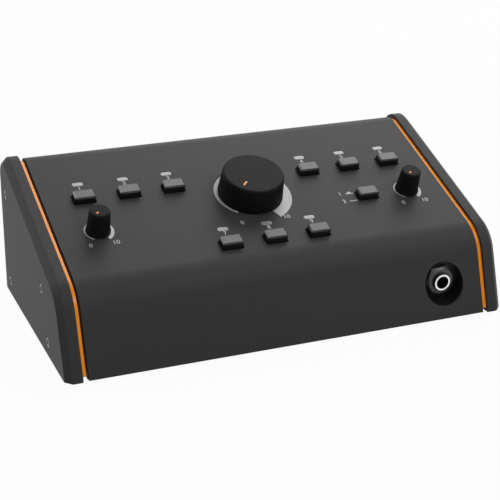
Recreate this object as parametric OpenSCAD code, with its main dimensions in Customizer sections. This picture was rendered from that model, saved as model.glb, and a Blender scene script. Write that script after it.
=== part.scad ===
// Desktop studio monitor controller: a folded metal console between two thick side cheeks.
// X runs along the width, the front faces -Y, Z is up. The origin is on the table, under the middle.
// Places on the sloping top are given as x and s, where s is the distance up the slope from the
// sharp line where the planes of the top and the front would meet, and as a height h above the metal.

/* [Body] */
// Width of the folded metal top and front
body_w = 200; // [196:1:260]
// Height of the front face, from its bottom edge to the sharp bend line
front_len = 39.5; // [37:0.2:50]
// Lean of the front face above horizontal
front_lean = 71.3; // [66:0.1:78]
// Length of the sloping top, from the sharp bend line to the sharp back corner
top_len = 108; // [106:0.5:130]
// Slope of the top above horizontal
top_slope = 19.5; // [17:0.1:23]
// Outer radius of the bend between the front and the top
bend_r = 20; // [12:1:24]
// Outer radius of the bend at the back of the top
back_r = 9.3; // [6:0.1:11]
// Corner radius of a cheek at the back of its top
cheek_back_r = 11; // [8:0.1:13]
// Height of the folded lip under the back bend
back_lip = 5; // [3:0.5:8]
// Thickness of the sheet metal
sheet_t = 1.2; // [1:0.1:1.5]
// Width of the folded screw flanges
flange_w = 12; // [9:0.5:15]
// Clearance between parts that slide past each other when put together
fit_gap = 0.15; // [0.05:0.05:0.3]

/* [Cheeks] */
// Thickness of one side cheek
cheek_t = 7.9; // [6:0.1:10]
// Width of the chamfer over the front, top and back of a cheek's outer face
cheek_chamfer = 2.9; // [1:0.1:4]
// How far a cheek's rim stands proud of the metal
rim_proud = 0.35; // [0.1:0.05:1.5]
// How far a cheek reaches below the metal
cheek_drop = 0.7; // [0.2:0.1:1.5]
// How far a cheek reaches behind the metal
cheek_overhang = 3.4; // [2.9:0.1:8]
// Corner radius of a cheek at its lower corners
cheek_foot_r = 1; // [0.5:0.1:3]
// How far the end wall's outer face stands beyond the metal's edge
accent_gap = 0.3; // [0.1:0.05:0.6]
// Thickness of the coloured side plate
accent_t = 1.8; // [1:0.1:3]
// How far the side plate's edge lies below the metal's surface
accent_recess = 1.2; // [1:0.1:2.5]
// Height of the side plate's bottom edge above the cheek's
accent_lift = 2.1; // [1.5:0.1:2.9]
// Height of the pads that hold the side plate off the end wall
pad_h = 0.45; // [0.3:0.05:1.5]
// Radius of those pads
pad_r = 4; // [3:0.5:4.5]
// Distance of the rear cheek screws from the cheek's back
rear_screw_in = 12.4; // [11:0.2:16]
// Height of the lower cheek screws above the cheek's bottom
low_screw_z = 7.2; // [6.9:0.1:10]
// Height of the upper rear cheek screw above the cheek's bottom
high_screw_z = 53; // [40:1:55]
// Distance of the front cheek screws behind the metal's front face
front_screw_in = 28.8; // [22:0.2:34]
// Height of the upper front cheek screw above the cheek's bottom
mid_screw_z = 30.5; // [24:0.5:33]

/* [Screws and feet] */
// Radius of the screw shanks
screw_r = 1.5; // [1.2:0.1:2]
// Clearance round a screw shank
screw_gap = 0.05; // [0.02:0.01:0.2]
// Radius of the screw heads
head_r = 2.8; // [2.6:0.1:3.5]
// Height of the screw heads
head_h = 1.7; // [1.2:0.1:2.2]
// Width across flats of the hex sockets in the heads
socket_af = 2; // [1.5:0.1:2.5]
// How far a screw reaches past the flange that it grips
screw_reach = 3; // [1.5:0.5:4]
// Distance of the middle base screws from the middle
mid_screw_x = 40; // [30:1:50]
// Distance of the corner base screws from the metal's front and back
corner_screw_y = 10; // [8:0.5:14]
// Height of the lower rear screws above the metal's bottom edge
rear_screw_low = 20; // [16:1:24]
// Height of the upper rear screws above the metal's bottom edge
rear_screw_high = 48; // [44:1:50]
// Radius of a rubber foot
foot_r = 6.5; // [4:0.5:9]
// Height of the cheeks above the table
foot_h = 2.5; // [2:0.1:6]
// Distance of the feet from the ends of the metal
foot_in_x = 17; // [14:1:30]
// Distance of the feet from the metal's front and back
foot_in_y = 23; // [20:1:35]

/* [Buttons and lights] */
// Width of a button
button_w = 10.2; // [8:0.1:12]
// Depth of a button, up the slope
button_d = 6.4; // [5:0.1:7]
// Height of a button above the metal
button_h = 3.5; // [3:0.1:6]
// Bevel round the top of a button
button_bevel = 0.65; // [0.3:0.05:1]
// Gap between a button and its hole
button_gap = 0.45; // [0.3:0.05:0.8]
// Travel of a button
button_travel = 1.5; // [0.5:0.1:1.8]
// Width of the square stem below a button
stem_w = 3; // [2:0.1:4]
// Clearance round a stem in its switch
stem_gap = 0.1; // [0.05:0.01:0.2]
// Distance between neighbouring columns of buttons
column_pitch = 22.3; // [20:0.1:23]
// Distance of the outermost upper columns from the metal's ends
column_in = 19.7; // [18:0.1:22]
// Distance of the upper button row up the slope
upper_s = 61.8; // [60:0.1:64]
// Distance of the lower button row up the slope
lower_s = 16.4; // [16:0.1:18]
// Distance of the selector button and the side knobs up the slope
side_s = 38; // [36:0.2:41]
// Distance from a button up to its light
light_up = 11.4; // [10:0.1:12.5]
// Length of a light window
light_w = 5.6; // [4:0.1:8]
// Height of a light window
light_d = 2.8; // [1.6:0.1:3.2]
// Corner radius of a light window
light_corner = 1.1; // [0.3:0.1:1.2]
// Clearance round a light window
light_gap = 0.05; // [0.02:0.01:0.15]

/* [Knobs] */
// Distance of the main knob up the slope
main_s = 50.2; // [46:0.2:52]
// Radius of the main knob at its base
main_r = 16.1; // [12:0.1:17]
// Radius of the main knob at its top
main_top_r = 15; // [11:0.1:16]
// Height of the main knob's top above the metal
main_h = 13; // [12:0.1:18]
// Distance of the side knobs from the metal's ends
side_in = 19.8; // [17:0.1:24]
// Radius of a side knob at its base
side_r = 6; // [5.6:0.1:8]
// Radius of a side knob at its top
side_top_r = 4.8; // [4.5:0.1:7]
// Height of a side knob's top above the metal
side_h = 12.5; // [11:0.1:18]
// Gap between a knob and the metal
knob_lift = 0.7; // [0.4:0.1:1]
// Radius of the control shafts
shaft_r = 2; // [1.5:0.1:2.2]
// Running clearance round a shaft in its bushing
shaft_gap = 0.05; // [0.02:0.01:0.1]
// Height of the shafts' ends above the metal
shaft_h = 9.5; // [9:0.1:10]
// Radius of the threaded bushings
bushing_r = 3; // [2.9:0.1:3.2]
// Height of the bushings above the metal
bushing_h = 3.4; // [3.1:0.1:3.8]
// Thickness of the bushings' nuts
nut_t = 1.8; // [1.2:0.1:2]
// Width across flats of the bushings' nuts
nut_af = 8; // [7.5:0.1:8.2]
// Angle of the pointers at rest, clockwise from straight down the slope
pointer_rest = 45; // [30:1:60]
// Width of a pointer
pointer_w = 0.9; // [0.5:0.1:2]
// Depth of a pointer's inlay
pointer_depth = 0.8; // [0.4:0.1:1.5]
// Distance of the main pointer's outer end from the knob's middle
main_pointer_out = 11.5; // [8:0.1:12]
// Length of the main pointer
main_pointer_len = 3.6; // [2:0.1:6]
// Distance of a side pointer's outer end from the knob's middle
side_pointer_out = 2.9; // [2.5:0.1:3.8]
// Length of a side pointer
side_pointer_len = 1.4; // [1:0.1:2]

/* [Inside] */
// Thickness of the circuit boards
board_t = 1.6; // [1:0.1:2]
// Depth of the control board below the metal's surface
board_depth = 10.2; // [10:0.1:12]
// Gap between the control board and the end walls
control_in = 7.1; // [4.5:0.1:9]
// Distance of the control board's front edge up the slope
control_s = 9; // [8:0.5:10]
// Distance of the control board's back edge from the sharp back corner
control_back = 21; // [19:0.5:23]
// Height of a switch body above the control board
switch_h = 6.4; // [5.8:0.1:6.6]
// Side of a square switch body
switch_w = 7.4; // [6.5:0.1:8]
// Side of the main control's square body
main_pot_w = 16; // [14:0.5:18]
// Side of a side control's square body
side_pot_w = 10; // [9:0.1:11]
// Distance of the control board's spacers from its ends
spacer_in = 5; // [4:0.5:7]
// Radius of the board spacers
spacer_r = 2.6; // [2.3:0.1:3]
// Gap between the main board and the end walls
main_board_in = 11.1; // [9:0.1:14]
// Gap between the main board and the phones jack's body
main_board_front = 9.5; // [5.5:0.5:11.5]
// Height of the main board above the base plate
main_board_h = 6; // [4:0.5:8]
// Width of the ribbon cable between the boards
ribbon_w = 20; // [15:0.5:26]
// Thickness of the ribbon cable
ribbon_t = 0.9; // [0.6:0.1:1.2]
// Distance of the ribbon's upper header from the sharp back corner
ribbon_back = 48; // [45:0.5:52]
// Height of the ribbon headers
header_h = 6; // [4:0.5:8]
// Depth of the ribbon headers
header_d = 5; // [4:0.5:7]

/* [Phones jack] */
// Distance of the phones jack from the metal's end
phones_in = 20; // [18:0.5:24]
// Height of the phones jack's middle above the metal's bottom edge
phones_z = 16; // [15.8:0.1:17]
// Radius of the round recess
recess_r = 10.4; // [9.5:0.1:10.8]
// Wall of the recess cup
cup_wall = 1.2; // [0.8:0.1:1.5]
// Distance of the cup's back wall behind the metal's front bottom edge
cup_y = 12; // [11:0.1:13]
// Width across flats of the phones jack's nut
phones_nut_af = 14; // [12:0.1:15]
// Turn of the phones jack's nut
phones_nut_turn = 5; // [0:5:55]
// Thickness of the phones jack's nut
phones_nut_t = 3; // [2:0.1:3.2]
// Outer radius of the phones jack's bush
bush_r = 4.45; // [4.3:0.05:4.8]
// Radius of the bore that the plug goes in
bore_r = 3.2; // [3.18:0.01:3.4]
// How far the bush's end stands out of its nut
bush_proud = 1.8; // [0.5:0.1:2.2]
// Side of the phones jack's square body
phones_body_w = 15; // [14:0.5:15.5]
// Length of the phones jack's body
phones_body_len = 26; // [24:0.5:28]

/* [Rear sockets] */
// Distance between neighbouring rear jacks, as a share of the metal's width
rear_pitch_share = 0.105; // [0.1:0.001:0.108]
// Distance of the first rear jack from the middle, as a share of the metal's width
rear_first_share = 0.39; // [0.37:0.001:0.4]
// Height of the rear jacks' middle above the main board
rear_jack_z = 9; // [8.5:0.1:11]
// Width of a rear jack's body
rear_body_w = 15; // [14:0.5:16]
// Length of a rear jack's body
rear_body_len = 26; // [22:0.5:30]
// Thickness of a rear jack's nut
rear_nut_t = 2; // [1.5:0.1:2.2]
// Width across flats of a rear jack's nut
rear_nut_af = 12.5; // [11:0.1:14]
// How far a rear jack's bush stands out of its nut
rear_bush_proud = 0.5; // [0:0.1:0.6]
// Distance of the small auxiliary socket from the middle, as a share of the metal's width
aux_share = 0.235; // [0.23:0.001:0.25]
// Outer radius of the small auxiliary socket's bush
aux_bush_r = 2.9; // [2.6:0.1:3.2]
// Bore of the small auxiliary socket
aux_bore_r = 1.8; // [1.77:0.01:1.9]
// Side of the small auxiliary socket's square body
aux_body_w = 11; // [9:0.5:12]
// Length of the small auxiliary socket's body
aux_body_len = 14; // [12:0.5:18]
// Distance of the power inlet from the middle, as a share of the metal's width
power_share = 0.36; // [0.34:0.001:0.37]
// Length of the power inlet's body
power_body_len = 14; // [11:0.5:18]
// Depth of the power inlet's opening behind the rear panel's inner face
power_depth = 9; // [7:0.5:10]
// Radius of the power inlet's opening
power_bore_r = 3.2; // [2.8:0.1:3.5]
// Radius of the power inlet's centre pin
power_pin_r = 1; // [0.6:0.05:1.2]
// Outer radius of the power inlet's collar
power_r = 4.5; // [4.2:0.1:5]
// Side of the power inlet's square body
power_body_w = 11; // [10:0.5:13]

/* [Hidden] */
$fn = 64;
ARC_STEPS = 16;
HEX_FN = 6;
eps = 0.01;

// Directions and outlines in the side view, where a point is [y, z]
function dir(a) = [cos(a), sin(a)];
function out(a) = [-sin(a), cos(a)];
function unit(v) = v / norm(v);
function meet(p, a, q, b) = p + dir(a) * cross(q - p, dir(b)) / sin(b - a);
function arc_at(a, b, c, r) =
    let (u = unit(a - b), w = unit(c - b), half = acos(u * w) / 2)
    let (mid = b + unit(u + w) * r / sin(half), start = b + u * r / tan(half) - mid)
    let (from = atan2(start.y, start.x), turn = sign(cross(b - a, c - b)) * (180 - 2 * half))
    [for (i = [0:ARC_STEPS]) mid + r * dir(from + turn * i / ARC_STEPS)];
function outline(points, radii) =
    let (n = len(points))
    [for (i = [0:n - 1]) each radii[i] > 0
        ? arc_at(points[(i + n - 1) % n], points[i], points[(i + 1) % n], radii[i])
        : [points[i]]];

// Driving points of the side view, measured from the metal's front bottom edge
bend_rel = front_len * dir(front_lean);
back_rel = bend_rel + top_len * dir(top_slope);
cheek_toe_z = cheek_foot_r - cheek_drop;
cheek_rim = rim_proud * out(front_lean);
cheek_toe_y = cheek_rim.x + (cheek_toe_z - cheek_rim.y) / tan(front_lean);
cheek_front_rel = cheek_toe_y + cheek_foot_r / sin(front_lean) - cheek_foot_r;
mid_y = (min(0, cheek_front_rel) + back_rel.x + cheek_overhang) / 2;

toe = [-mid_y, foot_h + cheek_drop];
bend = toe + bend_rel;
back = toe + back_rel;
cheek_back_y = back.x + cheek_overhang;
back_tangent_z = back.y - back_r / tan(45 - top_slope / 2);
lip_z = back_tangent_z - back_lip;

wall_out = body_w / 2 + accent_gap;
wall_in = wall_out - sheet_t;
plate_in = wall_out + pad_h;
cheek_in = plate_in + accent_t;
cheek_out = cheek_in + cheek_t;
panel_out = back.x - sheet_t;
panel_in = panel_out - sheet_t;
floor_top = toe.y + sheet_t;
flange_top = floor_top + sheet_t;
front_in_y = toe.x + sheet_t / sin(front_lean);
front_step = (flange_top - toe.y) / tan(front_lean);

hole_r = screw_r + screw_gap;
seat_gap = 0.02;
corner_r = 0.8;
stop_gap = 0.3;
pocket_gap = 0.3;
thin = 0.1;
main_board_top = floor_top + main_board_h + board_t;
main_board_y = panel_in - sheet_t - 2 * fit_gap;
board_base = -board_depth;
switch_top = switch_h - board_depth;
button_base = switch_top + button_travel + stop_gap;
stem_in = 2.5;
knob_pocket_r = nut_af / 2 / cos(30) + pocket_gap;
knob_pocket_h = bushing_h + pocket_gap;
rotor_rim = 1.5;
rotor_r = shaft_r + rotor_rim;
rotor_t = 1;
rotor_h = -6.5;
rotor_gap = 0.3;
// light chips and windows
chip_w = 3.2;
chip_d = 1.6;
chip_t = 0.8;
chip_gap = 0.3;
light_rim = 0.6;
light_rim_t = 0.8;
// small sizes of the knobs, feet and headers
knob_edge = 1.1;
foot_edge = 0.7;
header_end = 2;
// the phones jack's leaf contacts and the room round them
leaf_w = 3.6;
leaf_t = 0.4;
leaf_up = 0.9;
leaf_in = 6;
leaf_past = 2;
leaf_gap = 0.1;
leaf_slot_gap = 0.2;
jack_wall = 2;
jack_slot_in = 4;
jack_bore_gap = 0.3;
cup_rim = 1.5;
// the rear sockets' end walls and collars
aux_wall = 1.5;
aux_proud = 1;
power_proud = 0.8;
// how far the rear panel's tab reaches past its screws
tab_past = 20;
rear_tab_w = 2 * (mid_screw_x + tab_past);
screw_in_board = 5;
spacer_edge = 1.5;
// longer than anything that it cuts
far = 60;
// distances along the metal's width and up the slope
side_x = body_w / 2 - side_in;
phones_x = body_w / 2 - phones_in;
column_x = body_w / 2 - column_in;
rear_pitch = rear_pitch_share * body_w;
rear_first_x = -rear_first_share * body_w;
aux_x = aux_share * body_w;
power_x = power_share * body_w;
control_w = 2 * (wall_in - control_in);
control_len = top_len - control_s - control_back;
main_board_w = 2 * (wall_in - main_board_in);
main_board_d = main_board_y - toe.x - cup_y - cup_wall - phones_body_len - main_board_front;
ribbon_s = top_len - ribbon_back;

function upper_column_x(i) = i < 3 ? i * column_pitch - column_x : column_x - (5 - i) * column_pitch;
selector_x = upper_column_x(4);
BUTTONS = [
    for (i = [0:5]) [upper_column_x(i), upper_s],
    for (i = [-1:1]) [i * column_pitch, lower_s]
];
SELECTOR = [selector_x, side_s];
KNOBS = [[0, main_s], [-side_x, side_s], [side_x, side_s]];

// Frames: a spot on the sloping top, and a spot on the leaning front
module on_top(place, h = 0) {
    translate([place.x, bend.x + place.y * cos(top_slope), bend.y + place.y * sin(top_slope)])
        rotate([top_slope, 0, 0]) translate([0, 0, h]) children();
}
module on_front(x, w, h = 0) {
    translate([x, toe.x + w * cos(front_lean), toe.y + w * sin(front_lean)])
        rotate([front_lean, 0, 0]) translate([0, 0, h]) children();
}
// Stands a side-view shape up and gives it a width between two places along X
module across(x0, x1) {
    translate([x0, 0, 0]) rotate([90, 0, 90]) linear_extrude(x1 - x0) children();
}
// A cylinder along Y from y0 to y1
module along_y(x, y0, y1, z, r, sides = 64) {
    translate([x, y1, z]) rotate([90, 0, 0]) cylinder(r = r, h = y1 - y0, $fn = sides);
}
module along_x(x0, x1, spot, r) {
    translate([x0, spot.x, spot.y]) rotate([0, 90, 0]) cylinder(r = r, h = x1 - x0);
}
module box(low, high) {
    translate(low) cube(high - low);
}
module rounded_block(w, d, h0, h1, r) {
    translate([-w / 2 + r, -d / 2, h0]) cube([w - 2 * r, d, h1 - h0]);
    translate([-w / 2, -d / 2 + r, h0]) cube([w, d - 2 * r, h1 - h0]);
    for (x = [-1, 1], y = [-1, 1]) translate([x * (w / 2 - r), y * (d / 2 - r), h0])
        cylinder(r = r, h = h1 - h0);
}
module slot(w, d, h0, h1) {
    reach = (w - d) / 2;
    translate([-reach, -d / 2, h0]) cube([2 * reach, d, h1 - h0]);
    for (side = [-1, 1]) translate([side * reach, 0, h0]) cylinder(d = d, h = h1 - h0);
}
// A pan head screw with a hex socket: its head stands on z = 0 and its shank points down
module screw(reach) {
    difference() {
        cylinder(r = head_r, h = head_h);
        translate([0, 0, head_h / 2]) cylinder(d = socket_af / cos(30), h = head_h, $fn = HEX_FN);
    }
    translate([0, 0, -reach]) cylinder(r = screw_r, h = reach + eps);
}
module hex_nut(af, t, r) {
    difference() {
        cylinder(d = af / cos(30), h = t, $fn = HEX_FN);
        translate([0, 0, -eps]) cylinder(r = r, h = t + 2 * eps);
    }
}

// Side-view outlines
function body_corners(inset) =
    let (front = toe - inset * out(front_lean), top = bend - inset * out(top_slope))
    let (rear = [back.x - inset, toe.y])
    [meet(front, front_lean, toe, 0), rear, meet(rear, 90, top, top_slope),
        meet(top, top_slope, front, front_lean)];
function body_outline(inset) = outline(body_corners(inset), [0, 0, back_r - inset, bend_r - inset]);
function cheek_corners(inset) =
    let (front = toe + (rim_proud - inset) * out(front_lean))
    let (top = bend + (rim_proud - inset) * out(top_slope))
    let (rear = [cheek_back_y - inset, toe.y], low = [0, foot_h])
    [meet(front, front_lean, low, 0), meet(low, 0, rear, 90), meet(rear, 90, top, top_slope),
        meet(top, top_slope, front, front_lean)];
function cheek_outline(inset) =
    let (knee = bend_r + rim_proud - inset)
    outline(cheek_corners(inset), [cheek_foot_r, cheek_foot_r, cheek_back_r - inset, knee]);
module plate_outline() {
    intersection() {
        polygon(body_outline(accent_recess));
        translate([toe.x, foot_h + accent_lift])
            square([back.x - toe.x, back.y]);
    }
}
// Where the cheek screws sit, as [y, z]
function front_screw_y(z) = toe.x + (z - toe.y) / tan(front_lean) + front_screw_in;
low_z = foot_h + low_screw_z;
high_z = foot_h + high_screw_z;
mid_z = foot_h + mid_screw_z;
CHEEK_SCREWS = [
    [cheek_back_y - rear_screw_in, high_z], [cheek_back_y - rear_screw_in, low_z],
    [front_screw_y(mid_z), mid_z], [front_screw_y(low_z), low_z]
];
flange_x = wall_in - flange_w / 2;
BASE_SCREWS = [
    for (side = [-1, 1], y = [toe.x + corner_screw_y, panel_in - corner_screw_y]) [side * flange_x, y],
    for (side = [-1, 1]) [side * mid_screw_x, front_in_y + front_step + flange_w / 2],
    for (side = [-1, 1]) [side * mid_screw_x, panel_in - flange_w / 2]
];
REAR_SCREWS = [
    for (side = [-1, 1], z = [rear_screw_low, rear_screw_high]) [side * flange_x, toe.y + z]
];
REAR_JACKS = [for (i = [0:5]) rear_first_x + i * rear_pitch];
rear_z = main_board_top + rear_jack_z;
rear_bush_end = panel_out + rear_nut_t + rear_bush_proud;
phones_axis_z = toe.y + phones_z;
phones_w = phones_z / sin(front_lean);
cup_front = toe.x + cup_y;
cup_back = cup_front + cup_wall;
phones_nut_front = cup_front - phones_nut_t;
bush_end = phones_nut_front - bush_proud;
cup_r = recess_r + cup_wall;

module top_shell() {
    flange_end = wall_in - flange_w - fit_gap;
    color([0.2, 0.2, 0.205])
    difference() {
        union() {
            across(-body_w / 2, body_w / 2) difference() {
                polygon(body_outline(0));
                polygon(body_outline(sheet_t));
                translate([front_in_y, toe.y - 1]) square([back.x - front_in_y - sheet_t, 2]);
                translate([panel_out, toe.y - 1]) square([2 * sheet_t, lip_z - toe.y + 1]);
            }
            across(-flange_end, flange_end) polygon([
                [front_in_y - eps, floor_top], [front_in_y + front_step + flange_w, floor_top],
                [front_in_y + front_step + flange_w, flange_top],
                [front_in_y + front_step - eps, flange_top]
            ]);
        }
        for (b = BUTTONS) {
            on_top(b) button_hole();
            on_top(b + [0, light_up]) rounded_block(light_w + 2 * light_gap, light_d + 2 * light_gap,
                -3, 3, light_corner + light_gap);
        }
        on_top(SELECTOR) button_hole();
        for (k = KNOBS) on_top(k) cylinder(r = bushing_r + fit_gap, h = 6, center = true);
        along_y(phones_x, toe.x - 1, cup_front - 1, phones_axis_z, recess_r);
        for (p = BASE_SCREWS) translate([p.x, p.y, floor_top - 1]) cylinder(r = hole_r, h = 3);
    }
}
module button_hole() {
    rounded_block(button_w + 2 * button_gap, button_d + 2 * button_gap, -3, 3, corner_r);
}
// The upright end of the metal body, inside the folded top, with its screw flanges
module end_wall() {
    front = front_in_y + front_step + fit_gap;
    color([0.19, 0.19, 0.195])
    difference() {
        union() {
            across(wall_in, wall_out) polygon(body_outline(sheet_t + seat_gap));
            box([wall_in - flange_w, front, floor_top], [wall_in + eps, panel_in, flange_top]);
            box([wall_in - flange_w, panel_in - sheet_t, floor_top],
                [wall_in + eps, panel_in, back_tangent_z - flange_w / 2]);
        }
        for (p = CHEEK_SCREWS) along_x(wall_in - 1, wall_out + 1, p, hole_r);
        for (p = BASE_SCREWS) translate([p.x, p.y, floor_top - 1]) cylinder(r = hole_r, h = 3);
        for (p = REAR_SCREWS) along_y(p.x, panel_in - 2, panel_in + 1, p.y, hole_r);
    }
}
module base_plate() {
    front_y = front_in_y + sheet_t / tan(front_lean) + fit_gap;
    color([0.16, 0.16, 0.165])
    difference() {
        box([-wall_in + fit_gap, front_y, toe.y], [wall_in - fit_gap, panel_out, floor_top]);
        for (p = BASE_SCREWS) translate([p.x, p.y, toe.y - 1]) cylinder(r = hole_r, h = 4);
    }
}
module rear_panel() {
    color([0.17, 0.17, 0.175])
    difference() {
        union() {
            box([-wall_in + fit_gap, panel_in, floor_top],
                [wall_in - fit_gap, panel_out, back_tangent_z - fit_gap]);
            box([-rear_tab_w / 2, panel_in - flange_w, floor_top],
                [rear_tab_w / 2, panel_in + eps, flange_top]);
        }
        for (x = REAR_JACKS) along_y(x, panel_in - 1, panel_out + 1, rear_z, bush_r + fit_gap);
        along_y(aux_x, panel_in - 1, panel_out + 1, rear_z, aux_bush_r + fit_gap);
        along_y(power_x, panel_in - 1, panel_out + 1, rear_z, power_r + fit_gap);
        for (p = REAR_SCREWS) along_y(p.x, panel_in - 1, panel_out + 1, p.y, hole_r);
        for (side = [-1, 1]) translate([side * mid_screw_x, panel_in - flange_w / 2, floor_top - 1])
            cylinder(r = hole_r, h = 4);
    }
}
module side_plate() {
    color([0.83, 0.42, 0.1])
    difference() {
        union() {
            across(plate_in, cheek_in) plate_outline();
            for (p = CHEEK_SCREWS) along_x(wall_out, plate_in + accent_t / 2, p, pad_r);
        }
        for (p = CHEEK_SCREWS) along_x(wall_out - 1, cheek_in + 1, p, screw_r + fit_gap);
    }
}
module cheek() {
    color([0.15, 0.15, 0.155])
    difference() {
        hull() {
            across(cheek_in, cheek_out - cheek_chamfer) polygon(cheek_outline(0));
            across(cheek_out - thin, cheek_out) polygon(cheek_outline(cheek_chamfer));
        }
        for (p = CHEEK_SCREWS) {
            along_x(cheek_in - 1, cheek_out + 1, p, screw_r + fit_gap);
            along_x(cheek_out - head_h, cheek_out + 1, p, head_r + fit_gap);
        }
    }
}
module cheek_screws() {
    color([0.09, 0.09, 0.09])
    for (p = CHEEK_SCREWS) translate([cheek_out - head_h, p.x, p.y]) rotate([0, 90, 0])
        screw(cheek_out - head_h - wall_in + screw_reach);
}
module base_screws() {
    color([0.1, 0.1, 0.1])
    for (p = BASE_SCREWS) translate([p.x, p.y, toe.y]) rotate([180, 0, 0])
        screw(flange_top - toe.y + screw_reach);
}
module rear_screws() {
    color([0.1, 0.1, 0.1])
    for (p = REAR_SCREWS) translate([p.x, panel_out, p.y]) rotate([-90, 0, 0])
        screw(2 * sheet_t + screw_reach);
}
module rubber_feet() {
    color([0.06, 0.06, 0.06])
    for (x = [-1, 1] * (body_w / 2 - foot_in_x), y = [toe.x + foot_in_y, back.x - foot_in_y])
        translate([x, y, 0]) {
            cylinder(r1 = foot_r - foot_edge, r2 = foot_r, h = foot_edge);
            translate([0, 0, foot_edge]) cylinder(r = foot_r, h = toe.y - foot_edge);
        }
}
module control_board() {
    color([0.05, 0.22, 0.12])
    difference() {
        on_top([0, control_s]) translate([-control_w / 2, 0, board_base - board_t])
            cube([control_w, control_len, board_t]);
        for (p = spacer_places()) on_top(p) cylinder(r = hole_r, h = 3 * board_depth, center = true);
    }
}
function spacer_places() = [
    for (side = [-1, 1], s = [control_s + spacer_in, control_s + control_len - spacer_in])
        [side * (control_w / 2 - spacer_in), s]
];
function main_spacer_places() = [
    for (side = [-1, 1], y = [-main_board_d, -rear_body_len - 2 * spacer_in])
        [side * (wall_in - flange_w - spacer_r - spacer_edge), main_board_y + y + spacer_in]
];
module spacer(h) {
    difference() {
        cylinder(r = spacer_r, h = h);
        translate([0, 0, -eps]) cylinder(r = hole_r, h = h + 2 * eps);
    }
}
module main_board() {
    color([0.05, 0.22, 0.12])
    difference() {
        box([-main_board_w / 2, main_board_y - main_board_d, main_board_top - board_t],
            [main_board_w / 2, main_board_y, main_board_top]);
        for (p = main_spacer_places()) translate([p.x, p.y, main_board_top - 2 * board_t])
            cylinder(r = hole_r, h = 3 * board_t);
    }
}
module board_spacers() {
    color([0.75, 0.68, 0.4]) {
        for (p = spacer_places()) on_top(p, board_base) spacer(board_depth - sheet_t);
        for (p = main_spacer_places()) translate([p.x, p.y, floor_top]) spacer(main_board_h);
    }
}
module board_screws() {
    color([0.7, 0.7, 0.7]) {
        for (p = spacer_places()) on_top(p, board_base - board_t) rotate([180, 0, 0])
            screw(board_t + screw_in_board);
        for (p = main_spacer_places()) translate([p.x, p.y, main_board_top])
            screw(board_t + main_board_h / 2);
    }
}
// The ribbon bends evenly from the slope of the upper header to the upright lower one
upper_header_h = board_base - board_t - header_h;
ribbon_top = bend + ribbon_s * dir(top_slope) + upper_header_h * out(top_slope);
ribbon_low_z = main_board_top + header_h;
ribbon_r = (ribbon_top.y - ribbon_low_z) / sin(top_slope);
ribbon_y = ribbon_top.x + ribbon_r * (1 - cos(top_slope));
module ribbon_cable() {
    color([0.6, 0.6, 0.6])
    translate([0, ribbon_y - ribbon_r, ribbon_low_z]) rotate([90, 0, 90])
        rotate_extrude(angle = top_slope) translate([ribbon_r, 0])
        square([ribbon_t, ribbon_w], center = true);
}
module ribbon_headers() {
    header_w = ribbon_w + 2 * header_end;
    color([0.08, 0.08, 0.08]) {
        on_top([0, ribbon_s], upper_header_h) translate([-header_w / 2, -header_d / 2, 0])
            cube([header_w, header_d, header_h]);
        translate([-header_w / 2, ribbon_y - header_d / 2, main_board_top])
            cube([header_w, header_d, header_h]);
    }
}
module light_windows() {
    lower = board_base + chip_t + chip_gap;
    color([0.75, 0.75, 0.73])
    for (b = BUTTONS) on_top(b + [0, light_up]) {
        rounded_block(light_w, light_d, lower, 0, light_corner);
        rounded_block(light_w + 2 * light_rim, light_d + 2 * light_rim, -sheet_t - light_rim_t, -sheet_t,
            light_corner + light_rim);
    }
}
module light_chips() {
    color([0.9, 0.85, 0.6])
    for (b = BUTTONS) on_top(b + [0, light_up], board_base)
        translate([-chip_w / 2, -chip_d / 2, 0]) cube([chip_w, chip_d, chip_t]);
}
module switch_bodies() {
    socket = stem_w + 2 * stem_gap;
    depth = stem_in + button_travel + stop_gap;
    color([0.12, 0.12, 0.13])
    for (b = concat(BUTTONS, [SELECTOR])) on_top(b) difference() {
        translate([-switch_w / 2, -switch_w / 2, board_base]) cube([switch_w, switch_w, switch_h]);
        translate([-socket / 2, -socket / 2, switch_top - depth]) cube([socket, socket, depth + 1]);
    }
}
module button(place) {
    cap_h = button_h - button_base;
    color([0.27, 0.27, 0.28])
    on_top(place) {
        intersection() {
            rounded_block(button_w, button_d, button_base, button_h, corner_r);
            translate([-button_w / 2, 0, button_base]) rotate([90, 0, 90])
                linear_extrude(button_w) bevelled(button_d, cap_h);
            translate([0, button_d / 2, button_base]) rotate([90, 0, 0])
                linear_extrude(button_d) bevelled(button_w, cap_h);
        }
        translate([-stem_w / 2, -stem_w / 2, switch_top - stem_in])
            cube([stem_w, stem_w, button_base - switch_top + stem_in + eps]);
    }
}
// A button's front view: a block whose upper corners are bevelled
module bevelled(w, h) {
    polygon([
        [-w / 2, 0], [w / 2, 0], [w / 2, h - button_bevel], [w / 2 - button_bevel, h],
        [button_bevel - w / 2, h], [-w / 2, h - button_bevel]
    ]);
}
module control(place, w) {
    color([0.14, 0.3, 0.2])
    on_top(place) difference() {
        union() {
            translate([-w / 2, -w / 2, board_base]) cube([w, w, board_depth - sheet_t]);
            translate([0, 0, -sheet_t - eps]) cylinder(r = bushing_r, h = bushing_h + sheet_t + eps);
        }
        translate([0, 0, rotor_h]) cylinder(r = shaft_r + shaft_gap, h = 2 * board_depth);
        translate([0, 0, rotor_h - rotor_gap])
            cylinder(r = rotor_r + rotor_gap, h = rotor_t + 2 * rotor_gap);
    }
}
module control_nuts() {
    color([0.7, 0.7, 0.72])
    for (k = KNOBS) on_top(k) hex_nut(nut_af, nut_t, bushing_r + seat_gap);
}
module shaft(place) {
    color([0.72, 0.72, 0.74])
    on_top(place) {
        translate([0, 0, rotor_h]) cylinder(r = rotor_r, h = rotor_t);
        translate([0, 0, rotor_h]) cylinder(r = shaft_r, h = shaft_h - rotor_h);
    }
}
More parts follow.
